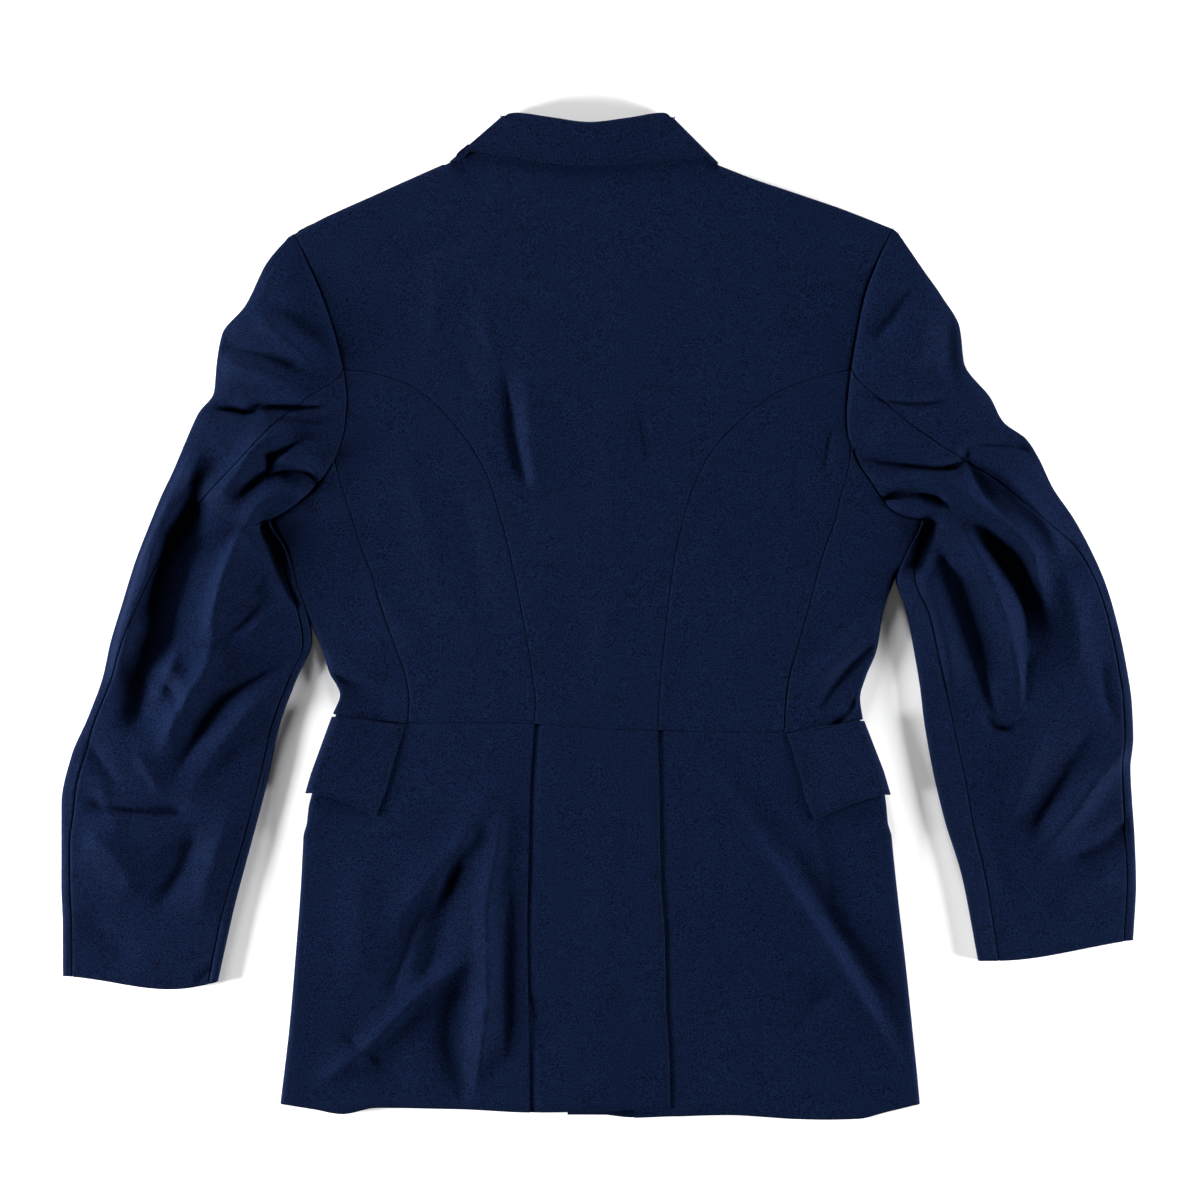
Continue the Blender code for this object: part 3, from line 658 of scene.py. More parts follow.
def front_floor(x, y, side):
    """The lower face of a front: on the table, or on what lies under it there."""
    # the spans over the buttons' row, the collar's points and the hidden halves of the flaps
    if side > 0:
        lap = BUTTON_LIFT * plateau(x, -60, 38, 50)
    else:
        lap = (BUTTON_LIFT + LAYER) * plateau(x, -38, 60, 50)
    lap = lap * plateau(y, -1, 640, 30)
    neck = COLLAR_LIFT * plateau(np.abs(x), -1, 125, 25) * plateau(y, 588, 740, 15)
    flap = COLLAR_LIFT * plateau(np.abs(x), 120, 240, 20) * plateau(y, 212, 292, 15)
    return np.maximum(np.maximum(lap, neck), np.maximum(flap, folds_at(x, y, FRONT_FOLDS)))


def side_turn(edge, side, top, bottom):
    """x and z of the half-round fold at a side, from its top to its foot, a column for each row."""
    angle = np.radians(np.linspace(90, -90, TURN_STEPS))[None, :]
    radius = ((top - bottom) / 2)[:, None]
    x = edge[:, None] + side * radius * (np.cos(angle) - 1)
    return x, (top + bottom)[:, None] / 2 + radius * np.sin(angle)


def graded(start, end, step, fine=(0.0, 0.5, 1.2, 2.2)):
    """Places from start to end in about even steps, closer together at both ends."""
    length = abs(end - start)
    fine = np.array(fine)
    steps = max(2, round((length - 2 * fine[-1]) / step))
    between = np.linspace(fine[-1], length - fine[-1], steps + 1)[1:-1]
    places = np.concatenate((fine, between, length - fine[::-1]))
    return start + (end - start) * places / length


def grid_faces(points):
    """The points that a grid's quads use, those quads, and which points of the grid they were."""
    rows, columns = points.shape[:2]
    number = np.arange(rows * columns).reshape(rows, columns)
    cells = np.stack((number[:-1, :-1], number[:-1, 1:], number[1:, 1:], number[1:, :-1]), axis=-1)
    flat = points.reshape(-1, 3)
    cells = cells.reshape(-1, 4)
    cells = cells[~np.isnan(flat[cells]).any(axis=(1, 2))]
    used, cells = np.unique(cells, return_inverse=True)
    return flat[used], cells.reshape(-1, 4), used


def grid_grain(points, used):
    """Where each point of a grid lies on the flat cloth, by the lengths of its rows."""
    steps = np.nan_to_num(np.linalg.norm(np.diff(points, axis=1), axis=2))
    across = np.concatenate((np.zeros((len(points), 1)), np.cumsum(steps, axis=1)), axis=1)
    across -= across.mean(axis=1, keepdims=True)
    steps = np.nan_to_num(np.linalg.norm(np.diff(points, axis=0), axis=2))
    along = np.concatenate(([0], np.cumsum(np.median(steps, axis=1))))
    return np.stack((across.ravel(), np.repeat(along, points.shape[1])), axis=1)[used]


def make_grid_cloth(name, points, slot="tunic_cloth"):
    """Makes cloth from a grid of points, of which those that are nan carry none."""
    flat, cells, used = grid_faces(points)
    make_cloth(name, flat, cells, slot, grid_grain(points, used))


def waist_and_hem(x, y, hem):
    """The height that a level row has at x once the waist and hem take their curves."""
    at_waist = ease(1 - np.abs(y - WAIST) / EDGE_EASE)
    shift = at_waist * (through(*zip(*WAIST_SEAM), x) - WAIST)
    if hem is not None:
        shift = shift + ease(1 - np.abs(y - HEM) / EDGE_EASE) * (through(*zip(*hem), x) - HEM)
    return y + shift


def under_columns(edge, inner, count):
    """x of the columns on the table side, from the side fold to the front edge."""
    share = np.linspace(0, 1, count + 1)[None, 1:]
    return edge[:, None] + (inner - edge)[:, None] * share


for name, side, edge_table, side_seam, cut, area in (
    ("front_left", -1, LEFT_EDGE, LEFT_SIDE_SEAM, (300, 412), 92000),
    ("front_right", 1, RIGHT_EDGE, RIGHT_SIDE_SEAM, (300, 412), 93000),
):
    y = np.concatenate((graded(WAIST, UNDERARM, 2.5), graded(UNDERARM, NECK, 3.0)[1:]))
    seam_top = side_seam[-1][1]
    y = np.sort(np.append(y, seam_top - ROW_AT_SEAM_TOP))
    edge = through(*zip(*edge_table), y)
    seam_xy = np.array(side_seam, float)
    seam_x = through(seam_xy[:, 1], seam_xy[:, 0], y) + side * SEAM_HALF
    closed = y <= UNDERARM
    floor_at_edge = front_floor(edge, y, side)
    turn_x, turn_z = side_turn(edge, side, np.full(len(y), FOLD_TOP), floor_at_edge)
    strip_end = np.where(closed, turn_x[:, 0], edge - side * SEAM_HALF)
    share = graded(0, 1, 0.06, fine=(0.0, 0.02, 0.05))[None, :]
    strip_x = seam_x[:, None] + (strip_end - seam_x)[:, None] * share
    strip_y = np.repeat(y[:, None], strip_x.shape[1], axis=1)
    lift = (FOLD_TOP - LEVEL_AT_SIDES) * ease(share)
    strip = rolled(strip_x, strip_y, back_height(strip_x, strip_y) + lift, back_seams)
    strip[y > seam_top] = np.nan
    turned = np.stack((turn_x, np.repeat(y[:, None], TURN_STEPS, axis=1), turn_z), axis=-1)
    turned[:, 0] = strip[:, -1]
    turned[~closed] = np.nan
    lean = NECK_CURVE[2] * ease((y - NECK_CURVE[0]) / NECK_CURVE[1])
    inner = side * through(*zip(*FRONT_EDGE), y) - lean
    foot = np.where(closed, turn_x[:, -1], edge)
    under_x = np.concatenate((foot[:, None], under_columns(foot, inner, FRONT_COLUMNS)), axis=1)
    under_y = np.repeat(y[:, None], under_x.shape[1], axis=1)
    under = np.stack((under_x, under_y, front_floor(under_x, under_y, side)), axis=-1)
    points = np.concatenate((strip, turned[:, 1:-1], under), axis=1)
    curved = waist_and_hem(points[..., 0], points[..., 1], None)
    points[..., 1] = np.where(np.isnan(points[..., 0]), np.nan, curved)
    make_grid_cloth(name, points)

# ---- Skirt ---------------------------------------------------------------------------------
# Below the waist seam the centre panel is set between two vents. It is tucked under the left
# skirt and lies over the right one, and both skirts go on round the sides to the front edges.
HEM = 8.0
UNDERLAP = 26.0
VENT_STEP = 1.7  # a hidden edge lies this far below what covers it
VENT_EASE = 9.0
HEM_ROLL = (1.4, 3.0)  # depth and reach, as of a groove
RIGHT_VENT_ROLL = (0.7, 1.6)
LEFT_VENT_ROLL = (0.5, 1.6)
FLAP_PINCH = 2.2  # beside the flap, the skirt's side fold is drawn in by this
SKIRT_COLUMNS = 44
SIDE_EASE = 24.0  # over this distance the skirt's face meets the side fold's top
FOOT_SHARE = 0.6  # the side fold's top rises by this share of its foot's height
FLAP_SPAN = (216, 300, 12)  # lowest and highest y beside a flap, and the ramp at both ends
LEFT_VENT = ((8, -49), (70, -50), (132, -51), (194, -50), (239, -49), (270, -47), (287, -46))
RIGHT_VENT = ((8, 52), (49, 51), (80, 49), (132, 48), (173, 45), (235, 44), (287, 43))
LEFT_SKIRT = (
    (8, -229), (73, -222), (120, -218), (174, -214), (212, -212), (224, -211), (240, -207),
    (270, -197), (287, -191),
)
RIGHT_SKIRT = (
    (8, 232), (32, 230), (63, 227), (111, 222), (163, 216), (202, 212), (227, 210), (240, 208),
    (264, 202), (275, 197), (287, 191),
)
LEFT_HEM = ((-229, 12), (-205, 8), (-184, 4.5), (-160, 9), (-96, 8), (-49, 6), (0, 7), (51, 9))
RIGHT_HEM = ((6, 4), (24, 2), (53, 3), (92, 4), (142, 1), (163, 0.5), (187, 1), (208, 6), (232, 12))
SKIRT_FOLDS = (
    (8, 14, ((-60, 268, 0.6), (-100, 201, 2.2), (-127, 168, 3.4), (-152, 130, 1.6))),
    (9, 9, ((-92, 206, -1.6), (-106, 180, -3.4), (-116, 130, -3.6), (-130, 92, -2.0))),
    (5, 8, ((-84, 124, 1.6), (-133, 86, 3.2), (-166, 53, 3.0), (-212, 18, 1.6))),
    (10, 8, ((-96, 104, -2.0), (-106, 63, -4.2), (-97, 6, -4.2))),
    (5, 8, (
        (-66, 262, 0.8), (-72, 200, 2.4), (-80, 150, 3.0),
        (-79, 100, 3.4), (-84, 50, 3.4), (-92, 4, 3.0),
    )),
    (7, 5, ((-60, 180, -1.0), (-66, 130, -2.0), (-66, 80, -2.6), (-68, 30, -2.4))),
    (5, 6, ((-88, 214, 1.2), (-112, 176, 2.4), (-124, 150, 1.2))),
    (5, 5, ((-126, 158, -1.2), (-140, 120, -2.2), (-150, 88, -1.2))),
    (6, 6, ((-186, 66, -1.0), (-160, 40, -1.8), (-132, 22, -1.0))),
    (16, 16, ((-170, 190, 1.6), (-172, 130, 2.0), (-160, 100, 1.0))),
    (6, 20, ((58, 282, 0.8), (126, 184, 3.0), (181, 102, 4.2), (224, 30, 3.6))),
    (9, 7, ((134, 206, -0.8), (170, 140, -2.0), (205, 84, -1.6))),
    (8, 8, ((154, 222, -1.0), (162, 190, -1.4), (172, 150, -0.8))),
    (8, 8, ((172, 100, -1.0), (150, 76, -1.6), (122, 48, -1.0))),
    (6, 6, ((-47, 92, -1.0), (-42, 70, -1.6), (-32, 50, -1.0))),
    (12, 12, ((0, 240, 0.6), (6, 150, 0.9), (-4, 60, 0.6))),
    (14, 14, ((84, 120, -0.8), (92, 70, -1.2), (90, 20, -1.0))),
)
BACK_FOLDS += SKIRT_FOLDS
left_vent_line = smooth_run([(x, y) for y, x in LEFT_VENT])
right_vent_line = smooth_run([(x, y) for y, x in RIGHT_VENT])
hem_seams = [(smooth_run(hem), *HEM_ROLL) for hem in (LEFT_HEM, RIGHT_HEM)]
waist_groove = [(seam_lines["waist"], *WAIST_GROOVE)]


def skirt_rows(x, y, hem):
    """y of a grid's points, whose level rows take the curves of the waist and the hem."""
    return waist_and_hem(x, np.repeat(y[:, None], x.shape[1], axis=1), hem)


skirt_y = graded(HEM, WAIST - SEAM_HALF, GRID)
left_vent = through(*zip(*LEFT_VENT), skirt_y)
right_vent = through(*zip(*RIGHT_VENT), skirt_y)

share = graded(0, 1, 0.02, fine=(0.0, 0.004, 0.01, 0.018))[None, :]
centre_left = left_vent - UNDERLAP
centre_x = centre_left[:, None] + (right_vent - centre_left)[:, None] * share
centre_y = skirt_rows(centre_x, skirt_y, LEFT_HEM)
tucked = VENT_STEP * ease(1 - (centre_x - left_vent[:, None]) / VENT_EASE)
height = back_height(centre_x, centre_y) - tucked
centre = rolled(centre_x, centre_y, height, waist_groove + hem_seams[:1])
centre[..., 2] -= dip(centre_x, centre_y, [(right_vent_line, *RIGHT_VENT_ROLL)])
make_grid_cloth("skirt_back_centre", centre)

for name, side, edge_table, vent, hem, hem_seam, cut, area in (
    ("skirt_left", -1, LEFT_SKIRT, left_vent, LEFT_HEM, hem_seams[0], (440, 290), 114000),
    ("skirt_right", 1, RIGHT_SKIRT, right_vent - UNDERLAP, RIGHT_HEM, hem_seams[1], (470, 290), 123000),
):
    in_flap = plateau(skirt_y, *FLAP_SPAN)
    edge = through(*zip(*edge_table), skirt_y) - side * in_flap * FLAP_PINCH
    floor_at_edge = front_floor(edge, skirt_y, side)
    top = FOLD_TOP + floor_at_edge * FOOT_SHARE
    turn_x, turn_z = side_turn(edge, side, top, floor_at_edge)
    share = graded(0, 1, 0.0125, fine=(0.0, 0.003, 0.007, 0.013))[None, :]
    top_x = vent[:, None] + (turn_x[:, 0] - vent)[:, None] * share
    top_y = skirt_rows(top_x, skirt_y, hem)
    height = back_height(top_x, top_y)
    level_at_edge = height[:, -1:]
    reach = ease((side * (top_x - turn_x[:, :1]) + SIDE_EASE) / SIDE_EASE)
    height = height + (top[:, None] - level_at_edge) * reach
    if side > 0:
        height -= VENT_STEP * ease(1 - (top_x - right_vent[:, None]) / VENT_EASE)
    upper = rolled(top_x, top_y, height, waist_groove + [hem_seam])
    if side < 0:
        upper[..., 2] -= dip(top_x, top_y, [(left_vent_line, *LEFT_VENT_ROLL)])
    turned_y = skirt_rows(turn_x, skirt_y, hem)
    turned = np.stack((turn_x, turned_y, turn_z), axis=-1)
    turned[:, 0] = upper[:, -1]
    inner = np.full(len(skirt_y), -side * FRONT_LAP)
    under_x = under_columns(turn_x[:, -1], inner, SKIRT_COLUMNS)
    under_y = skirt_rows(under_x, skirt_y, hem)
    under = np.stack((under_x, under_y, front_floor(under_x, under_y, side)), axis=-1)
    points = np.concatenate((upper, turned[:, 1:], under), axis=1)
    make_grid_cloth(name, points)

# ---- Pocket flaps --------------------------------------------------------------------------
# Each flap is two layers of the same cloth, pressed and edge-stitched. It is caught in the
# waist seam, lies on the skirt and goes on round the side fold to the front.
FLAP_OVER = 1.5  # its upper face above the skirt's
FLAP_REACH = 62.0
FLAP_COLUMNS = 10
FLAP_CROWN = 2.2  # its side fold's top above the skirt's, besides FLAP_OVER
FLAP_LIP = 0.8  # its free corner stands off the skirt by this
FLAP_EDGE = (0.8, 1.7)  # depth and reach of its rolled edges
FLAP_JOIN = (1.3, 2.2)  # and of the groove where it is caught in the waist seam
FLAPS = {
    # side, inner edge, then outer edge, from the waist seam to the lower edge
    "flap_left": (
        -1,
        ((-139, 285), (-144, 269), (-153, 237), (-160, 219)),
        ((-192, 291), (-207, 250), (-211, 236)),
    ),
    "flap_right": (
        1,
        ((136, 279), (146, 247), (150, 230), (156, 216)),
        ((192, 288), (206, 252), (211, 235)),
    ),
}
FLAP_ARCH = 1.6  # the lower edge curves up between its corner and the side
flap_edges = {}
for name, (side, inner_edge, outer_edge) in FLAPS.items():
    down = graded(0, 1, 0.035, fine=(0.0, 0.012, 0.03))
    inner_places = np.linspace(0, 1, len(inner_edge))
    inner_at = np.stack([np.interp(down, inner_places, c) for c in zip(*inner_edge)], axis=1)
    outer_at = np.stack([np.interp(down, (0, 0.6, 1), c) for c in zip(*outer_edge)], axis=1)
    top = np.full(len(down), FOLD_TOP + FLAP_CROWN + FLAP_OVER)
    turn_x, turn_z = side_turn(outer_at[:, 0], side, top, np.zeros(len(down)))
    share = graded(0, 1, 0.045, fine=(0.0, 0.01, 0.022, 0.04))[None, :]
    upper_x = inner_at[:, :1] + (turn_x[:, :1] - inner_at[:, :1]) * share
    upper_y = inner_at[:, 1:] + (outer_at[:, 1:] - inner_at[:, 1:]) * share
    upper_y = upper_y + FLAP_ARCH * down[:, None] * np.sin(math.pi * share)
    lip = FLAP_LIP * down[:, None] * ease(1 - share * 3)
    height = back_height(upper_x, upper_y) + FLAP_OVER + lip
    height = height + (top[:, None] - height[:, -1:]) * ease(share)
    lower_edge = np.stack((upper_x[-1], upper_y[-1]), axis=1)
    inside_edge = np.stack((upper_x[:, 0], upper_y[:, 0]), axis=1)
    flap_seams = [(lower_edge, *FLAP_EDGE), (inside_edge, *FLAP_EDGE), (seam_lines["waist"], *FLAP_JOIN)]
    upper = rolled(upper_x, upper_y, height, flap_seams)
    turned = np.stack((turn_x, np.repeat(outer_at[:, 1:], TURN_STEPS, axis=1), turn_z), axis=-1)
    turned[:, 0] = upper[:, -1]
    foot = turn_x[:, -1]
    under_x = under_columns(foot, foot - side * FLAP_REACH, FLAP_COLUMNS)
    under_y = np.repeat(outer_at[:, 1:], FLAP_COLUMNS, axis=1)
    under = np.stack((under_x, under_y, np.zeros_like(under_x)), axis=-1)
    points = np.concatenate((upper, turned[:, 1:], under), axis=1)
    make_grid_cloth(name, points, "collar_cloth")
    flap_edges[name] = upper

# ---- Sleeves -------------------------------------------------------------------------------
# Two-piece sleeves. The wide top sleeve lies underneath and comes up round both folds; the
# under sleeve is let in on the upper side between the hind and the fore seam.
SLEEVE_SEAM = 0.35
CUFF = 21.0  # the last section's number
CLOSED_FROM = 11  # from this section down, the sleeve has an inner fold
SEAM_FROM = 4  # and from this one a hind seam
ROWS = 300
CUFF_ROWS = (0.012, 0.03, 0.055)  # extra rows at the cuff, in sections above its edge
SLEEVE_ROLL = (1.8, 2.9)  # depth and reach of the sleeve's edge at the armhole
CUFF_ROLL = (1.6, 3.0)
SLEEVE_GROOVE = (1.4, 1.9)
FOLD_EASE = 9.0  # how far from a fold the upper face falls to it
SEAM_CLEAR = 0.9  # the fore seam keeps this far from the inner fold's turn
SOFT_STOP = 1.5  # from this far above its lowest, the upper face falls ever more gently
SLEEVE_FOLD_DEPTH = 2.0
CROWN_POWER = 0.8  # under 1, the crown is broader than a sine
UNDER_COLUMNS = 40  # points across the layer on the table
CUFF_BOW = {"left": 7.0, "right": 3.5}  # how far the cuff's edge bows down
BOW_SECTIONS = 1.5  # over this many sections above the cuff the rows take up its bow
BOW_POWER = 1.6  # over 1, the bow is deepest nearer the inner fold
LEFT_SLEEVE = (
    # outer x, outer y, inner x, inner y, hind, fore, crown
    (-224, 636, -219, 639, 4.6, 0, 6),
    (-239, 618, -209, 618, 29, 0, 9),
    (-254, 588, -200, 597, 54, 0, 13),
    (-271, 567, -191, 571, 80, 0, 15),
    (-275, 546, -183, 541, 91, 0, 15),
    (-277, 525, -181, 516, 66, 0, 15),
    (-288, 510, -182, 503, 60, 0, 14),
    (-298, 488, -186, 485, 51, 0, 15),
    (-306, 469, -191, 473, 44, 0, 16),
    (-315, 450, -200, 460, 36, 0, 16),
    (-324, 428, -213, 448, 28, 0, 16),
    (-334, 402, -235, 433, 22, 4, 17),
    (-343, 373, -223, 411, 16, 6, 17),
    (-352, 343, -217, 390, 12, 7, 16),
    (-357, 320, -209, 367, 9, 7, 15),
    (-368, 290, -206, 346, 8, 7, 14),
    (-380, 262, -218, 316, 12, 7, 14),
    (-387, 228, -229, 286, 11, 7, 13),
    (-387, 196, -238, 245, 7, 7, 12),
    (-387, 170, -249, 203, 7, 7, 10),
    (-386, 138, -262, 154, 7, 8, 8),
    (-386, 104, -274, 100, 7, 7, 6),
)
RIGHT_SLEEVE = (
    (217, 639, 212, 643, 4.6, 0, 6),
    (234, 614, 201, 618, 32, 0, 9),
    (248, 594, 193, 597, 54, 0, 13),
    (261, 571, 187, 571, 73, 0, 15),
    (264, 546, 182, 541, 81, 0, 15),
    (283, 521, 179, 516, 77, 0, 15),
    (292, 504, 179, 503, 70, 0, 14),
    (309, 491, 182, 485, 66, 0, 15),
    (318, 477, 187, 473, 54, 0, 16),
    (328, 456, 196, 460, 37, 0, 16),
    (343, 434, 204, 448, 27, 0, 16),
    (356, 410, 232, 433, 12, 4, 17),
    (366, 387, 222, 411, 8, 9, 17),
    (373, 364, 214.5, 391, 7, 14, 16),
    (380, 333, 222, 367, 7, 17, 16),
    (385, 300, 228, 337, 7, 18, 15),
    (386, 275, 232, 313, 7, 20, 14),
    (384, 254, 235, 288, 7, 22, 13),
    (385, 232, 241, 254, 7, 23, 12),
    (387, 203, 250, 216, 7, 20, 10),
    (388, 170, 262, 177, 7, 17, 8),
    (386, 130, 274, 115, 7, 15, 6),
)
SLEEVE_FOLDS = (
    # the left cap and elbow
    (7, 7, ((-280, 562, -1.6), (-253, 554, -2.4), (-233, 549, -1.9), (-214, 538, -1.0))),
    (7, 7, ((-276, 547, 2.2), (-250, 541, 3.2), (-228, 534, 2.4), (-205, 524, 1.2))),
    (7, 6, ((-250, 583, 1.6), (-224, 562, 3.0), (-207, 546, 2.4), (-200, 530, 1.0))),
    (8, 8, ((-246, 598, -1.0), (-218, 572, -1.5), (-193, 552, -1.0))),
    (4, 3.5, (
        (-284, 512, -3.0), (-264, 513, -4.2), (-252, 511, -4.0),
        (-241, 516, -4.2), (-204, 515, -2.6), (-184, 518, -1.4),
    )),
    (4, 4, ((-240, 507, -0.8), (-216, 504, -1.4), (-187, 502, -0.8))),
    (8, 8, ((-282, 440, 2.0), (-262, 461, 4.4), (-243, 487, 4.4), (-214, 499, 2.6))),
    (6, 6, ((-188, 486, -1.1), (-210, 491, -1.8), (-226, 484, -3.1), (-240, 468, -3.2), (-262, 446, -2.8))),
    (4.5, 4.5, ((-238, 470, 2.4), (-224, 476, 3.6), (-210, 473, 3.4), (-198, 462, 1.8))),
    (3, 3.4, ((-238, 464, -2.2), (-224, 469, -3.7), (-210, 466, -3.4), (-201, 457, -1.8))),
    (7, 8, ((-205, 449, 2.2), (-226, 452, 4.2), (-242, 444, 4.4), (-256, 424, 3.6))),
    (6, 15, ((-284, 488, 2.4), (-299, 448, 5.2), (-313, 425, 5.6), (-325, 391, 5.8))),
    (6, 15, ((-313, 425, 2.0), (-325, 391, 5.6), (-336, 362, 5.4), (-341, 338, 4.8), (-351, 309, 2.4))),
    (19, 8, ((-284, 470, -3.0), (-300, 436, -7.0), (-308, 404, -8.0), (-316, 362, -7.6), (-324, 322, -6.0))),
    (14, 8, ((-316, 362, -2.0), (-326, 322, -4.6), (-332, 294, -3.6), (-338, 276, -2.0))),
    (13, 5, ((-250, 434, 4.0), (-264, 405, 5.4), (-272, 383, 5.6), (-278, 352, 4.8), (-275, 338, 4.2))),
    (9, 6, ((-275, 350, 3.0), (-280, 330, 4.2), (-294, 306, 4.4), (-306, 284, 4.0), (-314, 262, 2.0))),
    (4.5, 5, ((-278, 346, -0.8), (-256, 357, -1.3), (-236, 382, -0.8))),
    (6, 6, ((-246, 440, -5.0), (-238, 424, -9.0), (-230, 406, -9.0), (-222, 386, -6.0), (-212, 362, -3.0))),
    (6, 9, ((-214, 336, -1.4), (-244, 320, -2.9), (-270, 300, -2.9), (-290, 272, -2.4), (-312, 238, -1.3))),
    (8, 8, ((-222, 316, 1.6), (-250, 296, 3.0), (-276, 262, 2.8), (-300, 226, 1.2))),
    (7, 7, ((-258, 272, -1.2), (-276, 256, -1.8), (-294, 236, -1.2))),
    (6, 6, ((-368, 276, -1.0), (-358, 258, -1.7), (-346, 240, -1.3))),
    (4, 4.5, ((-378, 234, -1.4), (-358, 228, -2.6), (-335, 225, -3.0), (-308, 225, -3.8), (-286, 222, -2.0))),
    (10, 14, ((-372, 208, 1.4), (-352, 196, 2.8), (-330, 160, 2.0))),
    (11, 11, ((-284, 212, -1.6), (-302, 182, -2.8), (-322, 148, -1.6))),
    (10, 10, ((-262, 232, 1.6), (-276, 190, 2.2), (-290, 140, 1.2))),
    (3, 3, ((-277, 113, -0.8), (-284, 104, -1.2), (-292, 96, -0.8))),
    (9, 9, ((-372, 150, -0.8), (-350, 130, -1.3), (-330, 116, -0.8))),
    (5, 5, ((-312, 330, 0.9), (-300, 318, 1.2), (-292, 300, 0.8))),
    (4, 4, ((-318, 322, -1.0), (-306, 308, -1.3), (-298, 290, -0.8))),
    (3.5, 3.5, ((-256, 372, -0.5), (-246, 384, -0.9), (-236, 400, -0.5))),
    (3.5, 3.5, ((-262, 346, 0.9), (-244, 358, 1.4), (-228, 376, 0.9))),
    (4, 4, ((-300, 344, 0.9), (-308, 324, 1.4), (-320, 300, 0.9))),
    (4, 4, ((-334, 268, 1.0), (-322, 250, 1.5), (-312, 234, 0.8))),
    (5, 5, ((-360, 250, 0.9), (-352, 224, 1.3), (-338, 206, 0.7))),
    (4, 4, ((-262, 590, 0.9), (-250, 600, 1.3), (-234, 606, 0.8))),
    (5, 5, ((-296, 196, 0.8), (-310, 176, 1.2), (-330, 160, 0.7))),
    # the right cap and elbow
    (8, 8, ((231, 612, -1.4), (214, 580, -2.4), (194, 556, -1.4))),
    (7, 7, ((252, 582, -1.2), (253, 552, -2.0), (257, 526, -1.2))),
    (9, 9, ((236, 590, 1.0), (232, 560, 1.8), (222, 532, 1.0))),
    (4, 4, ((184, 523, -1.2), (228, 517, -2.0), (262, 521, -1.2))),
    (4, 4, ((183, 478, -1.6), (220, 474, -2.8), (246, 470, -3.6), (258, 472, -4.0), (266, 486, -2.6))),
    (8, 8, ((190, 492, 1.4), (224, 488, 2.4), (252, 486, 1.8))),
    (5, 5, ((262, 490, -1.8), (270, 468, -3.2), (280, 447, -3.0), (304, 424, -1.4))),
    (5, 5, ((262, 487, -1.4), (289, 487, -2.4), (318, 480, -1.2))),
    (8, 8, ((282, 472, 1.6), (300, 456, 3.0), (320, 432, 3.0), (336, 400, 1.8))),
    (7, 9, (
        (206, 458, 1.8), (226, 463, 4.0), (246, 459, 4.8), (271, 446, 5.4),
        (294, 428, 5.0), (312, 406, 4.6), (318, 376, 3.6), (322, 350, 1.8),
    )),
    (3, 3.2, ((203, 447, -2.2), (215, 451, -4.4), (230, 453, -4.8), (244, 449, -4.4), (254, 442, -2.6))),
    (4.5, 4.5, ((204, 443, 1.6), (222, 438, 3.2), (240, 439, 3.2), (252, 441, 1.4))),
    (8, 8, (
        (256, 436, -2.4), (276, 420, -4.5), (294, 400, -5.7),
        (306, 380, -6.0), (311, 360, -4.8), (306, 330, -2.4),
    )),
    (7, 7, (
        (250, 444, 2.4), (264, 424, 4.8), (276, 400, 5.4), (288, 374, 5.2),
        (297, 342, 4.6), (304, 311, 3.8), (300, 280, 2.0),
    )),
    (7, 7, (
        (243, 430, -2.7), (251, 400, -3.9), (262, 367, -4.2),
        (274, 329, -3.9), (283, 300, -3.2), (298, 275, -1.7),
    )),
    (7, 7, ((242, 442, -5.0), (236, 422, -9.0), (231, 404, -7.0), (230, 388, -3.0))),
    (9, 8, ((228, 408, 1.6), (238, 384, 3.4), (250, 344, 3.4), (258, 300, 2.2))),
    (4, 4, ((309, 340, -1.6), (307, 320, -2.6), (306, 298, -1.6))),
    (10, 10, ((334, 400, 1.4), (344, 360, 2.6), (346, 320, 1.8))),
    (5, 5, ((362, 338, -0.7), (365, 308, -1.3), (378, 278, -0.7))),
    (4, 5, ((276, 292, -1.6), (288, 283, -2.8), (298, 283, -2.6), (305, 293, -1.4))),
    (8, 9, ((390, 276, 2.0), (361, 248, 3.8), (343, 223, 3.8), (325, 200, 2.8), (316, 180, 1.2))),
    (9, 8, ((356, 290, -0.9), (338, 252, -1.9), (322, 222, -2.0), (309, 198, -1.1))),
    (9, 9, ((322, 286, 1.4), (308, 252, 2.4), (296, 214, 1.4))),
    (7, 7, ((386, 219, -1.4), (365, 200, -2.8), (334, 188, -1.4))),
    (10, 10, ((378, 186, 1.0), (350, 168, 1.8), (320, 152, 1.0))),
    (10, 10, ((280, 230, -0.8), (286, 190, -1.4), (298, 150, -0.8))),
)
LOWEST_UPPER = 3.9  # the upper face's lowest, before it rolls into the seams
SLEEVE_FLOOR_FOLDS = (
    (9, 9, ((-330, 380, 1.0), (-300, 330, 1.4), (-310, 260, 0.8))),
    (9, 9, ((330, 380, 1.0), (300, 330, 1.4), (316, 250, 0.8))),
)


def sleeve_rows(table):
    """The table's columns read smoothly at every row of points, with each row's number."""
    number = np.linspace(0, CUFF, ROWS)
    fine = np.array(CUFF_ROWS)
    number = np.concatenate((number[:-1], CUFF - fine[::-1], number[-1:]))
    columns = [through(range(len(table)), column, number) for column in zip(*table)]
    return number, np.stack(columns, axis=1)


def sleeve_height(x, y, share, crown, outer_level, inner_level):
    """The upper face of a sleeve, from its outer end (0) to its inner end (1)."""
    ends = outer_level + (inner_level - outer_level) * share
    plain = ends + (crown - ends) * np.maximum(0, np.sin(math.pi * share)) ** CROWN_POWER
    above = plain + folds_at(x, y, SLEEVE_FOLDS, SLEEVE_FOLD_DEPTH) - LOWEST_UPPER
    settling = SOFT_STOP * np.exp(np.minimum(above / SOFT_STOP - 1, 0))
    return LOWEST_UPPER + np.where(above > SOFT_STOP, above, settling)


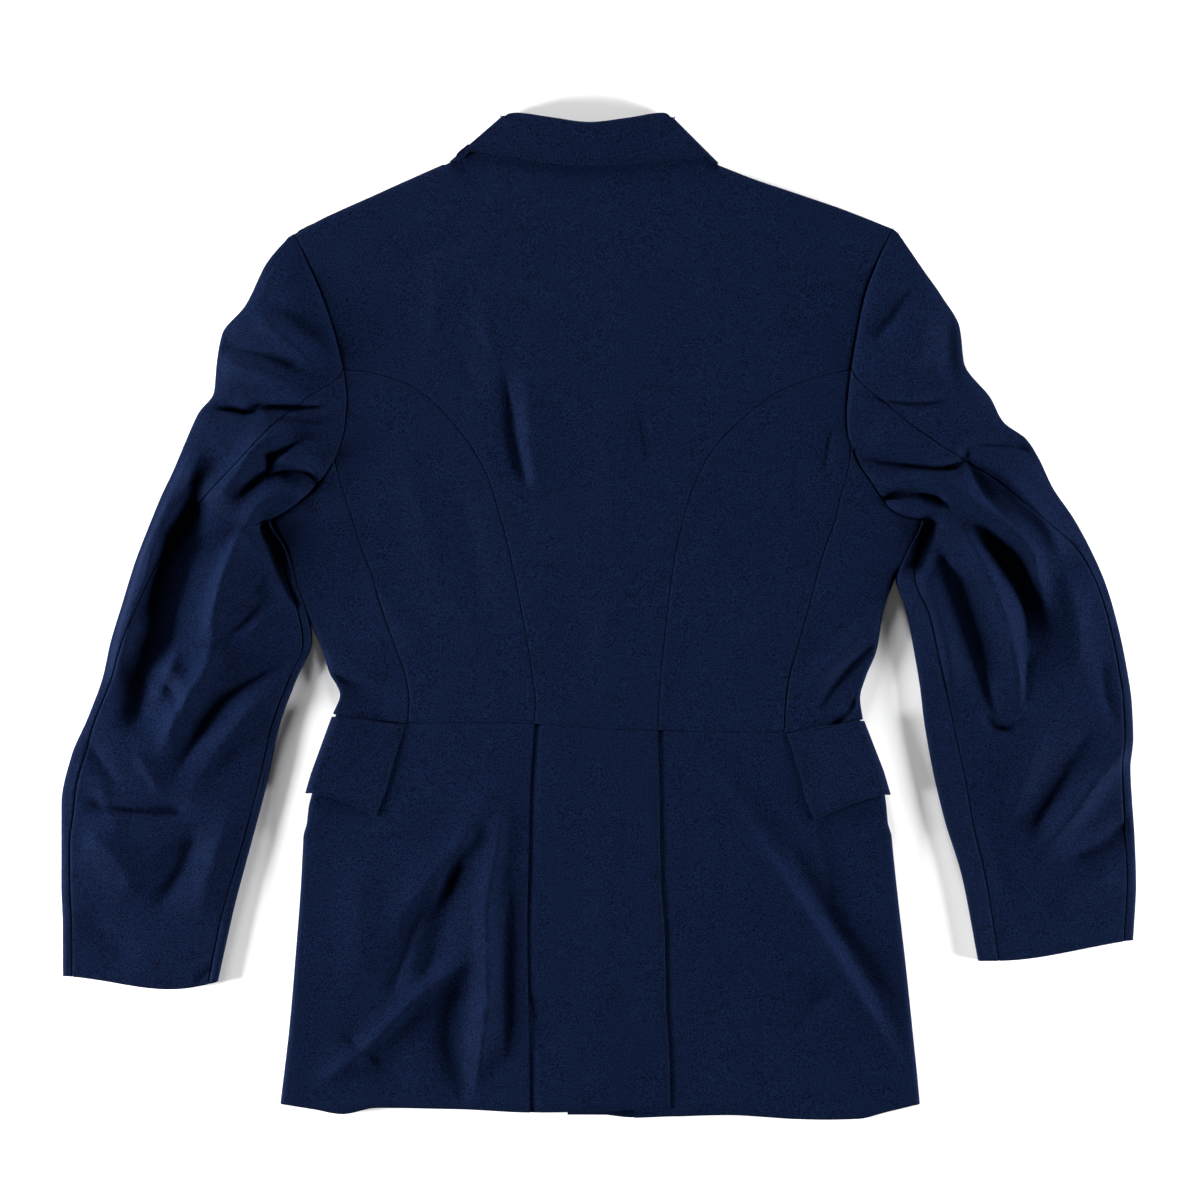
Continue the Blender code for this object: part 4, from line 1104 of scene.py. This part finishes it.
for side_name, table in (("left", LEFT_SLEEVE), ("right", RIGHT_SLEEVE)):
    number, columns = sleeve_rows(table)
    outer, inner = columns[:, 0:2], columns[:, 2:4]
    arm = [side_name + part for part in ("_armhole_top", "_armhole", "_underarm")]
    arm_lines = (seam_lines[arm[0]][::-1], seam_lines[arm[1]][::-1], seam_lines[arm[2]])
    round_arm = smooth_run(np.concatenate(arm_lines)[::2], 0.25)
    set_in = number <= CLOSED_FROM
    gaps = np.hypot(*(inner[set_in][:, None] - round_arm[None]).transpose(2, 0, 1))
    inner[set_in] = round_arm[gaps.argmin(axis=1)]
    hind, fore, crown = columns[:, 4:5], columns[:, 5:6], columns[:, 6:7]
    width = np.hypot(*(inner - outer).T)[:, None]
    across = (inner - outer) / width
    set_on = number[:, None] < SEAM_FROM
    hind = np.where(set_on, width - SEAM_HALF + SLEEVE_SEAM, hind)
    closed = number >= CLOSED_FROM
    opened = ease(number - CLOSED_FROM + 1)[:, None]
    inner_level = back_height(inner[:, 0], inner[:, 1])[:, None] * (1 - opened) + FOLD_TOP * opened
    edge = np.minimum(FOLD_TOP, crown)
    radius = edge / 2
    foot = np.where(closed[:, None], FOLD_TOP / 2, SEAM_HALF)
    bow = CUFF_BOW[side_name] * ease((number[:, None] - CUFF + BOW_SECTIONS) / BOW_SECTIONS)

    def at(distance):
        """x and y of points at their distances from the outer fold."""
        x = outer[:, :1] + across[:, :1] * distance
        y = outer[:, 1:] + across[:, 1:] * distance
        return x, y - bow * np.sin(math.pi * np.clip(distance / width, 0, 1) ** BOW_POWER)

    cuff_line = np.stack(at(np.linspace(0, 1, 60)[None, :] * width), axis=-1)[-1]
    sleeve_seams = [(seam_lines[seam_name], *SLEEVE_ROLL) for seam_name in arm]
    sleeve_seams += [(cuff_line, *CUFF_ROLL)]
    hind_line = np.stack(at(hind), axis=-1)[number >= SEAM_FROM][::3, 0]
    fore_line = np.stack(at(width - fore), axis=-1)[closed][::3, 0]
    sleeve_seams += [(hind_line, *SLEEVE_GROOVE), (fore_line, *SLEEVE_GROOVE)]

    def upper(distance):
        """Points of the upper face at their distances from the outer fold."""
        x, y = at(distance)
        z = sleeve_height(x, y, distance / width, crown, edge, inner_level)
        near_fold = 1 - ease(distance / FOLD_EASE)
        near_inner = (1 - ease((width - distance) / FOLD_EASE)) * opened
        z = z + (edge - z) * near_fold
        z = z + (inner_level - z) * near_inner
        return rolled(x, y, z, sleeve_seams)

    share = graded(0, 1, 0.03, fine=(0.0, 0.006, 0.014, 0.024))[None, :]
    outer_strip = upper((hind - SLEEVE_SEAM) + (radius - hind + SLEEVE_SEAM) * share)
    angle = np.radians(np.linspace(90, -90, TURN_STEPS))[None, 1:-1]
    turn_x, turn_y = at(radius - radius * np.cos(angle))
    turned = np.stack((turn_x, turn_y, radius + radius * np.sin(angle)), axis=-1)
    share = np.linspace(0, 1, UNDER_COLUMNS)[None, :]
    under_x, under_y = at(radius + (width - foot - radius) * share)
    under_z = np.maximum(0, folds_at(under_x, under_y, SLEEVE_FLOOR_FOLDS))
    under = np.stack((under_x, under_y, under_z), axis=-1)
    upwards = angle[:, ::-1]
    turn_x, turn_y = at(width - FOLD_TOP / 2 + FOLD_TOP / 2 * np.cos(upwards))
    turn_z = np.broadcast_to(FOLD_TOP / 2 * (1 + np.sin(upwards)), turn_x.shape)
    inner_turn = np.stack((turn_x, turn_y, turn_z), axis=-1)
    share = graded(0, 1, 0.1, fine=(0.0, 0.03, 0.08))[None, :]
    fore_start = width - FOLD_TOP / 2
    fore_seam = width - np.maximum(fore, FOLD_TOP / 2 + SEAM_CLEAR)
    fore_end = fore_seam + SLEEVE_SEAM
    inner_strip = upper(fore_start + (fore_end - fore_start) * share)
    inner_turn[~closed] = np.nan
    inner_strip[~closed] = np.nan
    points = np.concatenate((outer_strip, turned, under, inner_turn, inner_strip), axis=1)
    make_grid_cloth("top_sleeve_" + side_name, points)

    stop = np.where(closed[:, None], fore_seam - SLEEVE_SEAM, width - SEAM_HALF)
    start = hind + SLEEVE_SEAM
    share = graded(0, 1, 0.018, fine=(0.0, 0.004, 0.01, 0.018))[None, :]
    panel = upper(start + np.maximum(stop - start, 0.01) * share)
    panel[number < SEAM_FROM] = np.nan
    make_grid_cloth("under_sleeve_" + side_name, panel)

# ---- Collar --------------------------------------------------------------------------------
# A turned-down collar: a firm fall rolled over a low stand. It lies on the back's neck, turns
# round the sides of the neck and goes on underneath to its two points.
COLLAR_OVER = 2.7  # the fall's upper face above the back's
ROLL_RADIUS = 2.6
ROLL_OVER = 1.4  # the roll stands this far above the fall's edge
EDGE_DROP = 0.5  # the fall's edge rolls down by this over its last millimetre
SIDE_TOP = 11.0  # the collar's top where it turns round the sides of the neck
COLLAR_SECTIONS = 110
SKIPPED = 4  # sections left out at each end of the middle, where the turns stand instead
SIDE_SECTIONS = 30  # over this many sections the middle rises to the sides' height
POINT_SECTIONS = 14
TURN_SECTIONS = 11
STAND_ROWS = np.linspace(701, 715, 9)
STAND_COLUMNS = 60
STAND_LEFT = (-80, -64)  # x of its left end, at its lowest row and at its highest
STAND_RIGHT = (62, 48)
STAND_UNDER = 0.6  # the stand lies this far below the back's upper face
LEFT_FOLD = ((-69, 724), (-107, 691))
RIGHT_FOLD = ((54, 723), (87, 690))
LEFT_POINT = ((-9, 642), (-50, 604))
RIGHT_POINT = ((-3, 642), (38, 604))
ROLL_LINE = ((-69, 724), (-60, 726), (-34, 722.5), (-6, 719), (21, 722), (47, 726), (54, 723))
FALL_EDGE = (
    (-107, 691), (-97, 697), (-85, 697.5), (-73, 696), (-50, 692), (-32, 689), (-9, 688), (12, 688),
    (36, 690), (59, 692), (76, 693), (87, 690),
)


def even_run(points, count):
    """A given number of points along the smooth curve through points."""
    line = smooth_run(points, 0.25)
    return line[np.linspace(0, len(line) - 1, count).round().astype(int)]


def collar_section(roll, edge_point, z_roll, z_edge, flip):
    """A row of the fall from its lower edge up to the roll and a little way down inside it."""
    share = graded(0, 1, 0.06, fine=(0.0, 0.015, 0.04))
    run = roll - edge_point
    length = np.hypot(*run)
    flat_share = share * (1 - ROLL_RADIUS / length)
    flat = edge_point + run * flat_share[:, None]
    z = z_edge + (z_roll - z_edge) * share
    z = z - flip * EDGE_DROP * np.clip(1 - share * length, 0, 1) ** 2
    bend = np.radians(np.linspace(90, -60, 8))[1:]
    rolled_xy = edge_point + run * (1 - ROLL_RADIUS / length * (1 - np.cos(bend)))[:, None]
    rolled_z = z_roll - flip * ROLL_RADIUS * (1 - np.sin(bend))
    return np.concatenate((np.column_stack((flat, z)), np.column_stack((rolled_xy, rolled_z))))


rolls = even_run(ROLL_LINE, COLLAR_SECTIONS)
falls = even_run(FALL_EDGE, COLLAR_SECTIONS)
rows = []
for fold, point, side in ((LEFT_FOLD, LEFT_POINT, -1), (RIGHT_FOLD, RIGHT_POINT, 1)):
    fold_roll, fold_edge = np.array(fold, float)
    point_roll, point_edge = np.array(point, float)
    ends = []
    for share in np.linspace(0, 1, POINT_SECTIONS)[:-1]:
        roll = point_roll + (fold_roll - point_roll) * share
        edge_point = point_edge + (fold_edge - point_edge) * share
        ends.append(collar_section(roll, edge_point, 0, 0, -1))
    for angle in np.radians(np.linspace(-90, 90, TURN_SECTIONS)):
        inwards = np.array((side * SIDE_TOP / 2 * (1 - math.cos(angle)), 0))
        flip = math.sin(angle)
        z = SIDE_TOP / 2 * (1 + flip)
        ends.append(collar_section(fold_roll - inwards, fold_edge - inwards, z, z, flip))
    rows.append(ends)
middle_rows = []
for number in range(SKIPPED, COLLAR_SECTIONS - SKIPPED):
    roll, edge_point = rolls[number], falls[number]
    level = back_height(np.array((edge_point[0], roll[0])), np.array((edge_point[1], NECK)))
    from_end = min(number, COLLAR_SECTIONS - 1 - number)
    at_side = 1 - ease((from_end - 2) / SIDE_SECTIONS)
    z_edge, z_roll = level + (COLLAR_OVER, COLLAR_OVER + ROLL_OVER)
    z_edge += (SIDE_TOP - z_edge) * at_side
    z_roll += (SIDE_TOP - z_roll) * at_side
    middle_rows.append(collar_section(roll, edge_point, z_roll, z_edge, 1))
points = np.stack(rows[0] + middle_rows + rows[1][::-1])
collar_edge = points[len(rows[0]) : -len(rows[1]), 2]
make_grid_cloth("collar_fall", points, "collar_cloth")

up = np.linspace(0, 1, len(STAND_ROWS))[:, None]
low_x = STAND_LEFT[0] + (STAND_LEFT[1] - STAND_LEFT[0]) * up
high_x = STAND_RIGHT[0] + (STAND_RIGHT[1] - STAND_RIGHT[0]) * up
stand_x = low_x + (high_x - low_x) * np.linspace(0, 1, STAND_COLUMNS)[None, :]
stand_y = np.repeat(STAND_ROWS[:, None], STAND_COLUMNS, axis=1)
stand_z = back_height(stand_x, np.full_like(stand_x, NECK)) - STAND_UNDER
stand = np.stack((stand_x, stand_y, stand_z), axis=-1)
make_grid_cloth("collar_stand", stand, "collar_cloth")

# ---- Edge stitching ------------------------------------------------------------------------
# A row of navy polyester thread holds the edges of both flaps, the right vent and the collar:
# about nine stitches to the inch, sunk a little into the cloth.
STITCH_PITCH = 2.7
STITCH_LENGTH = 1.9
THREAD_RADIUS = 0.22
STITCH_LIFT = np.array((0, 0, 0.1))

# Spun polyester thread: smoother than the wool. Its navy is darkened to near black with painted shade of the
# sunk stitches, so a row reads as a fine dark line
thread, thread_tree, thread_shader = new_material("navy_thread_painted_shade")
thread_shader.inputs["Roughness"].default_value = 0.45
thread_shader.inputs["Specular IOR Level"].default_value = 0.03
twist = add_node(
    thread_tree,
    "ShaderNodeTexNoise",
    {"Vector": add_node(thread_tree, "ShaderNodeTexCoord").outputs["Object"]},
    {"Scale": 900.0, "Detail": 1.0},
)
# painted shade: both thread colours are near black, standing for the shade where the stitches sink into the
# cloth, over the thread's own navy
shaded_thread_colour = add_node(
    thread_tree,
    "ShaderNodeMix",
    {"Factor": twist.outputs["Fac"]},
    {"A": paint("02040C"), "B": paint("050A1A")},
    data_type="RGBA",
)
thread_tree.links.new(shaded_thread_colour.outputs["Result"], thread_shader.inputs["Base Color"])


def make_stitch_tree():
    """Stitches along a line of points: named inputs for their pitch, length and thickness."""
    tree = bpy.data.node_groups.new("stitch_row", "GeometryNodeTree")
    tree.is_modifier = True
    tree.interface.new_socket("Line", in_out="INPUT", socket_type="NodeSocketGeometry")
    for socket_name in ("Pitch", "Length", "Thread Radius"):
        tree.interface.new_socket(socket_name, in_out="INPUT", socket_type="NodeSocketFloat")
    tree.interface.new_socket("Thread", in_out="INPUT", socket_type="NodeSocketMaterial")
    tree.interface.new_socket("Stitches", in_out="OUTPUT", socket_type="NodeSocketGeometry")
    given = add_node(tree, "NodeGroupInput")
    line = add_node(tree, "GeometryNodeMeshToCurve", {"Mesh": given.outputs["Line"]})
    steps = add_node(
        tree,
        "GeometryNodeResampleCurve",
        {"Curve": line.outputs["Curve"], "Length": given.outputs["Pitch"]},
        mode="LENGTH",
    )
    stitch = add_node(tree, "GeometryNodeMeshUVSphere", inputs={"Segments": 6, "Rings": 4, "Radius": 1.0})
    half = add_node(tree, "ShaderNodeMath", {0: given.outputs["Length"]}, {1: 0.5}, operation="MULTIPLY")
    size = add_node(
        tree,
        "ShaderNodeCombineXYZ",
        {"X": given.outputs["Thread Radius"], "Y": given.outputs["Thread Radius"], "Z": half.outputs[0]},
    )
    tangent = add_node(tree, "GeometryNodeInputTangent")
    turn = add_node(
        tree, "FunctionNodeAlignRotationToVector", {"Vector": tangent.outputs[0]}, axis="Z"
    )
    row = add_node(
        tree,
        "GeometryNodeInstanceOnPoints",
        {
            "Points": steps.outputs["Curve"],
            "Instance": stitch.outputs["Mesh"],
            "Rotation": turn.outputs[0],
            "Scale": size.outputs[0],
        },
    )
    real = add_node(tree, "GeometryNodeRealizeInstances", {0: row.outputs["Instances"]})
    done = add_node(
        tree,
        "GeometryNodeSetMaterial",
        {"Geometry": real.outputs[0], "Material": given.outputs["Thread"]},
    )
    add_node(tree, "NodeGroupOutput", {"Stitches": done.outputs[0]})
    return tree


stitch_tree = make_stitch_tree()


def sew(name, lines):
    """Rows of stitches along lines of points that lie on the cloth."""
    mesh = bpy.data.meshes.new(name)
    points, edges = [], []
    for line in lines:
        first = len(points)
        edges += [(first + i, first + i + 1) for i in range(len(line) - 1)]
        points += in_frame(line + STITCH_LIFT).tolist()
    mesh.from_pydata(points, edges, [])
    row = bpy.data.objects.new(name, mesh)
    scene.collection.objects.link(row)
    stitches = row.modifiers.new("stitches", "NODES")
    stitches.node_group = stitch_tree
    values = {
        "Pitch": STITCH_PITCH * MM,
        "Length": STITCH_LENGTH * MM,
        "Thread Radius": THREAD_RADIUS * MM,
        "Thread": thread,
    }
    for item in stitch_tree.interface.items_tree:
        if item.name in values:
            stitches[item.identifier] = values[item.name]
    settle_modifiers(row, name)
    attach(row, "root")


# a row of stitches follows a row or a column of the cloth's own points, a little in from its edge
for name, upper in flap_edges.items():
    inner_column = 4
    lower_row = len(upper) - 3
    flap_rows = [upper[: lower_row + 1, inner_column], upper[lower_row, inner_column:]]
    sew(name + "_stitching", flap_rows)
sew("collar_stitching", [collar_edge])
sew("vent_stitching", [centre[3:-3, -4]])

# ---- Buttons -------------------------------------------------------------------------------
# Five plain moulded buttons under the right front, each with a raised rim; their sewing holes
# aren't made. They lie against the table and carry the lapped edges.
BUTTON_PROFILE = (
    # radius, height above the table
    (0.0, 0.75), (5.6, 0.75), (6.4, 0.35), (7.4, 0.05), (8.6, 0.0), (9.5, 0.35), (10.0, 1.1),
    (9.6, 1.9), (8.6, 2.3), (0.0, 2.4),
)
BUTTON_SIDES = 48
BUTTON_SHARP = 60  # degrees

# Polyester button stock: moulded and tumbled, so it is dark with a soft, slightly cloudy gloss
button_polyester, button_tree, button_shader = new_material("tumbled_polyester_button")
button_shader.inputs["Roughness"].default_value = 0.34
cloud = add_node(
    button_tree,
    "ShaderNodeTexNoise",
    {"Vector": add_node(button_tree, "ShaderNodeTexCoord").outputs["Object"]},
    {"Scale": 220.0, "Detail": 2.0},
)
button_colour = add_node(
    button_tree,
    "ShaderNodeMix",
    {"Factor": cloud.outputs["Fac"]},
    {"A": paint("0A0F20"), "B": paint("1C2540")},
    data_type="RGBA",
)
button_tree.links.new(button_colour.outputs["Result"], button_shader.inputs["Base Color"])

for number in range(1, 6):
    name = f"button_{number}"
    low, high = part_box(name)
    hub = (low + high) / 2
    angles = np.linspace(0, 2 * math.pi, BUTTON_SIDES, endpoint=False)
    points, faces = [], []
    for radius, height in BUTTON_PROFILE[1:-1]:
        for angle in angles:
            points.append((radius * math.cos(angle), radius * math.sin(angle), height))
    rings = len(BUTTON_PROFILE) - 2
    for ring in range(rings - 1):
        for i in range(BUTTON_SIDES):
            j = (i + 1) % BUTTON_SIDES
            a, b = ring * BUTTON_SIDES, (ring + 1) * BUTTON_SIDES
            faces.append((a + i, b + i, b + j, a + j))
    points += [(0, 0, BUTTON_PROFILE[0][1]), (0, 0, BUTTON_PROFILE[-1][1])]
    under_hub, over_hub = len(points) - 2, len(points) - 1
    top_ring = (rings - 1) * BUTTON_SIDES
    for i in range(BUTTON_SIDES):
        j = (i + 1) % BUTTON_SIDES
        faces.append((under_hub, i, j))
        faces.append((over_hub, top_ring + j, top_ring + i))
    mesh = bpy.data.meshes.new(name)
    placed = [(hub.x + x * MM, hub.y + y * MM, low.z + z * MM) for x, y, z in points]
    mesh.from_pydata(placed, [], faces)
    mesh.materials.append(button_polyester)
    button = bpy.data.objects.new(name + "_moulded", mesh)
    scene.collection.objects.link(button)
    mesh.shade_smooth()
    mesh.set_sharp_from_angle(angle=math.radians(BUTTON_SHARP))
    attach(button, "root")
    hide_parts(name)

# ---- Finish --------------------------------------------------------------------------------
low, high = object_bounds()
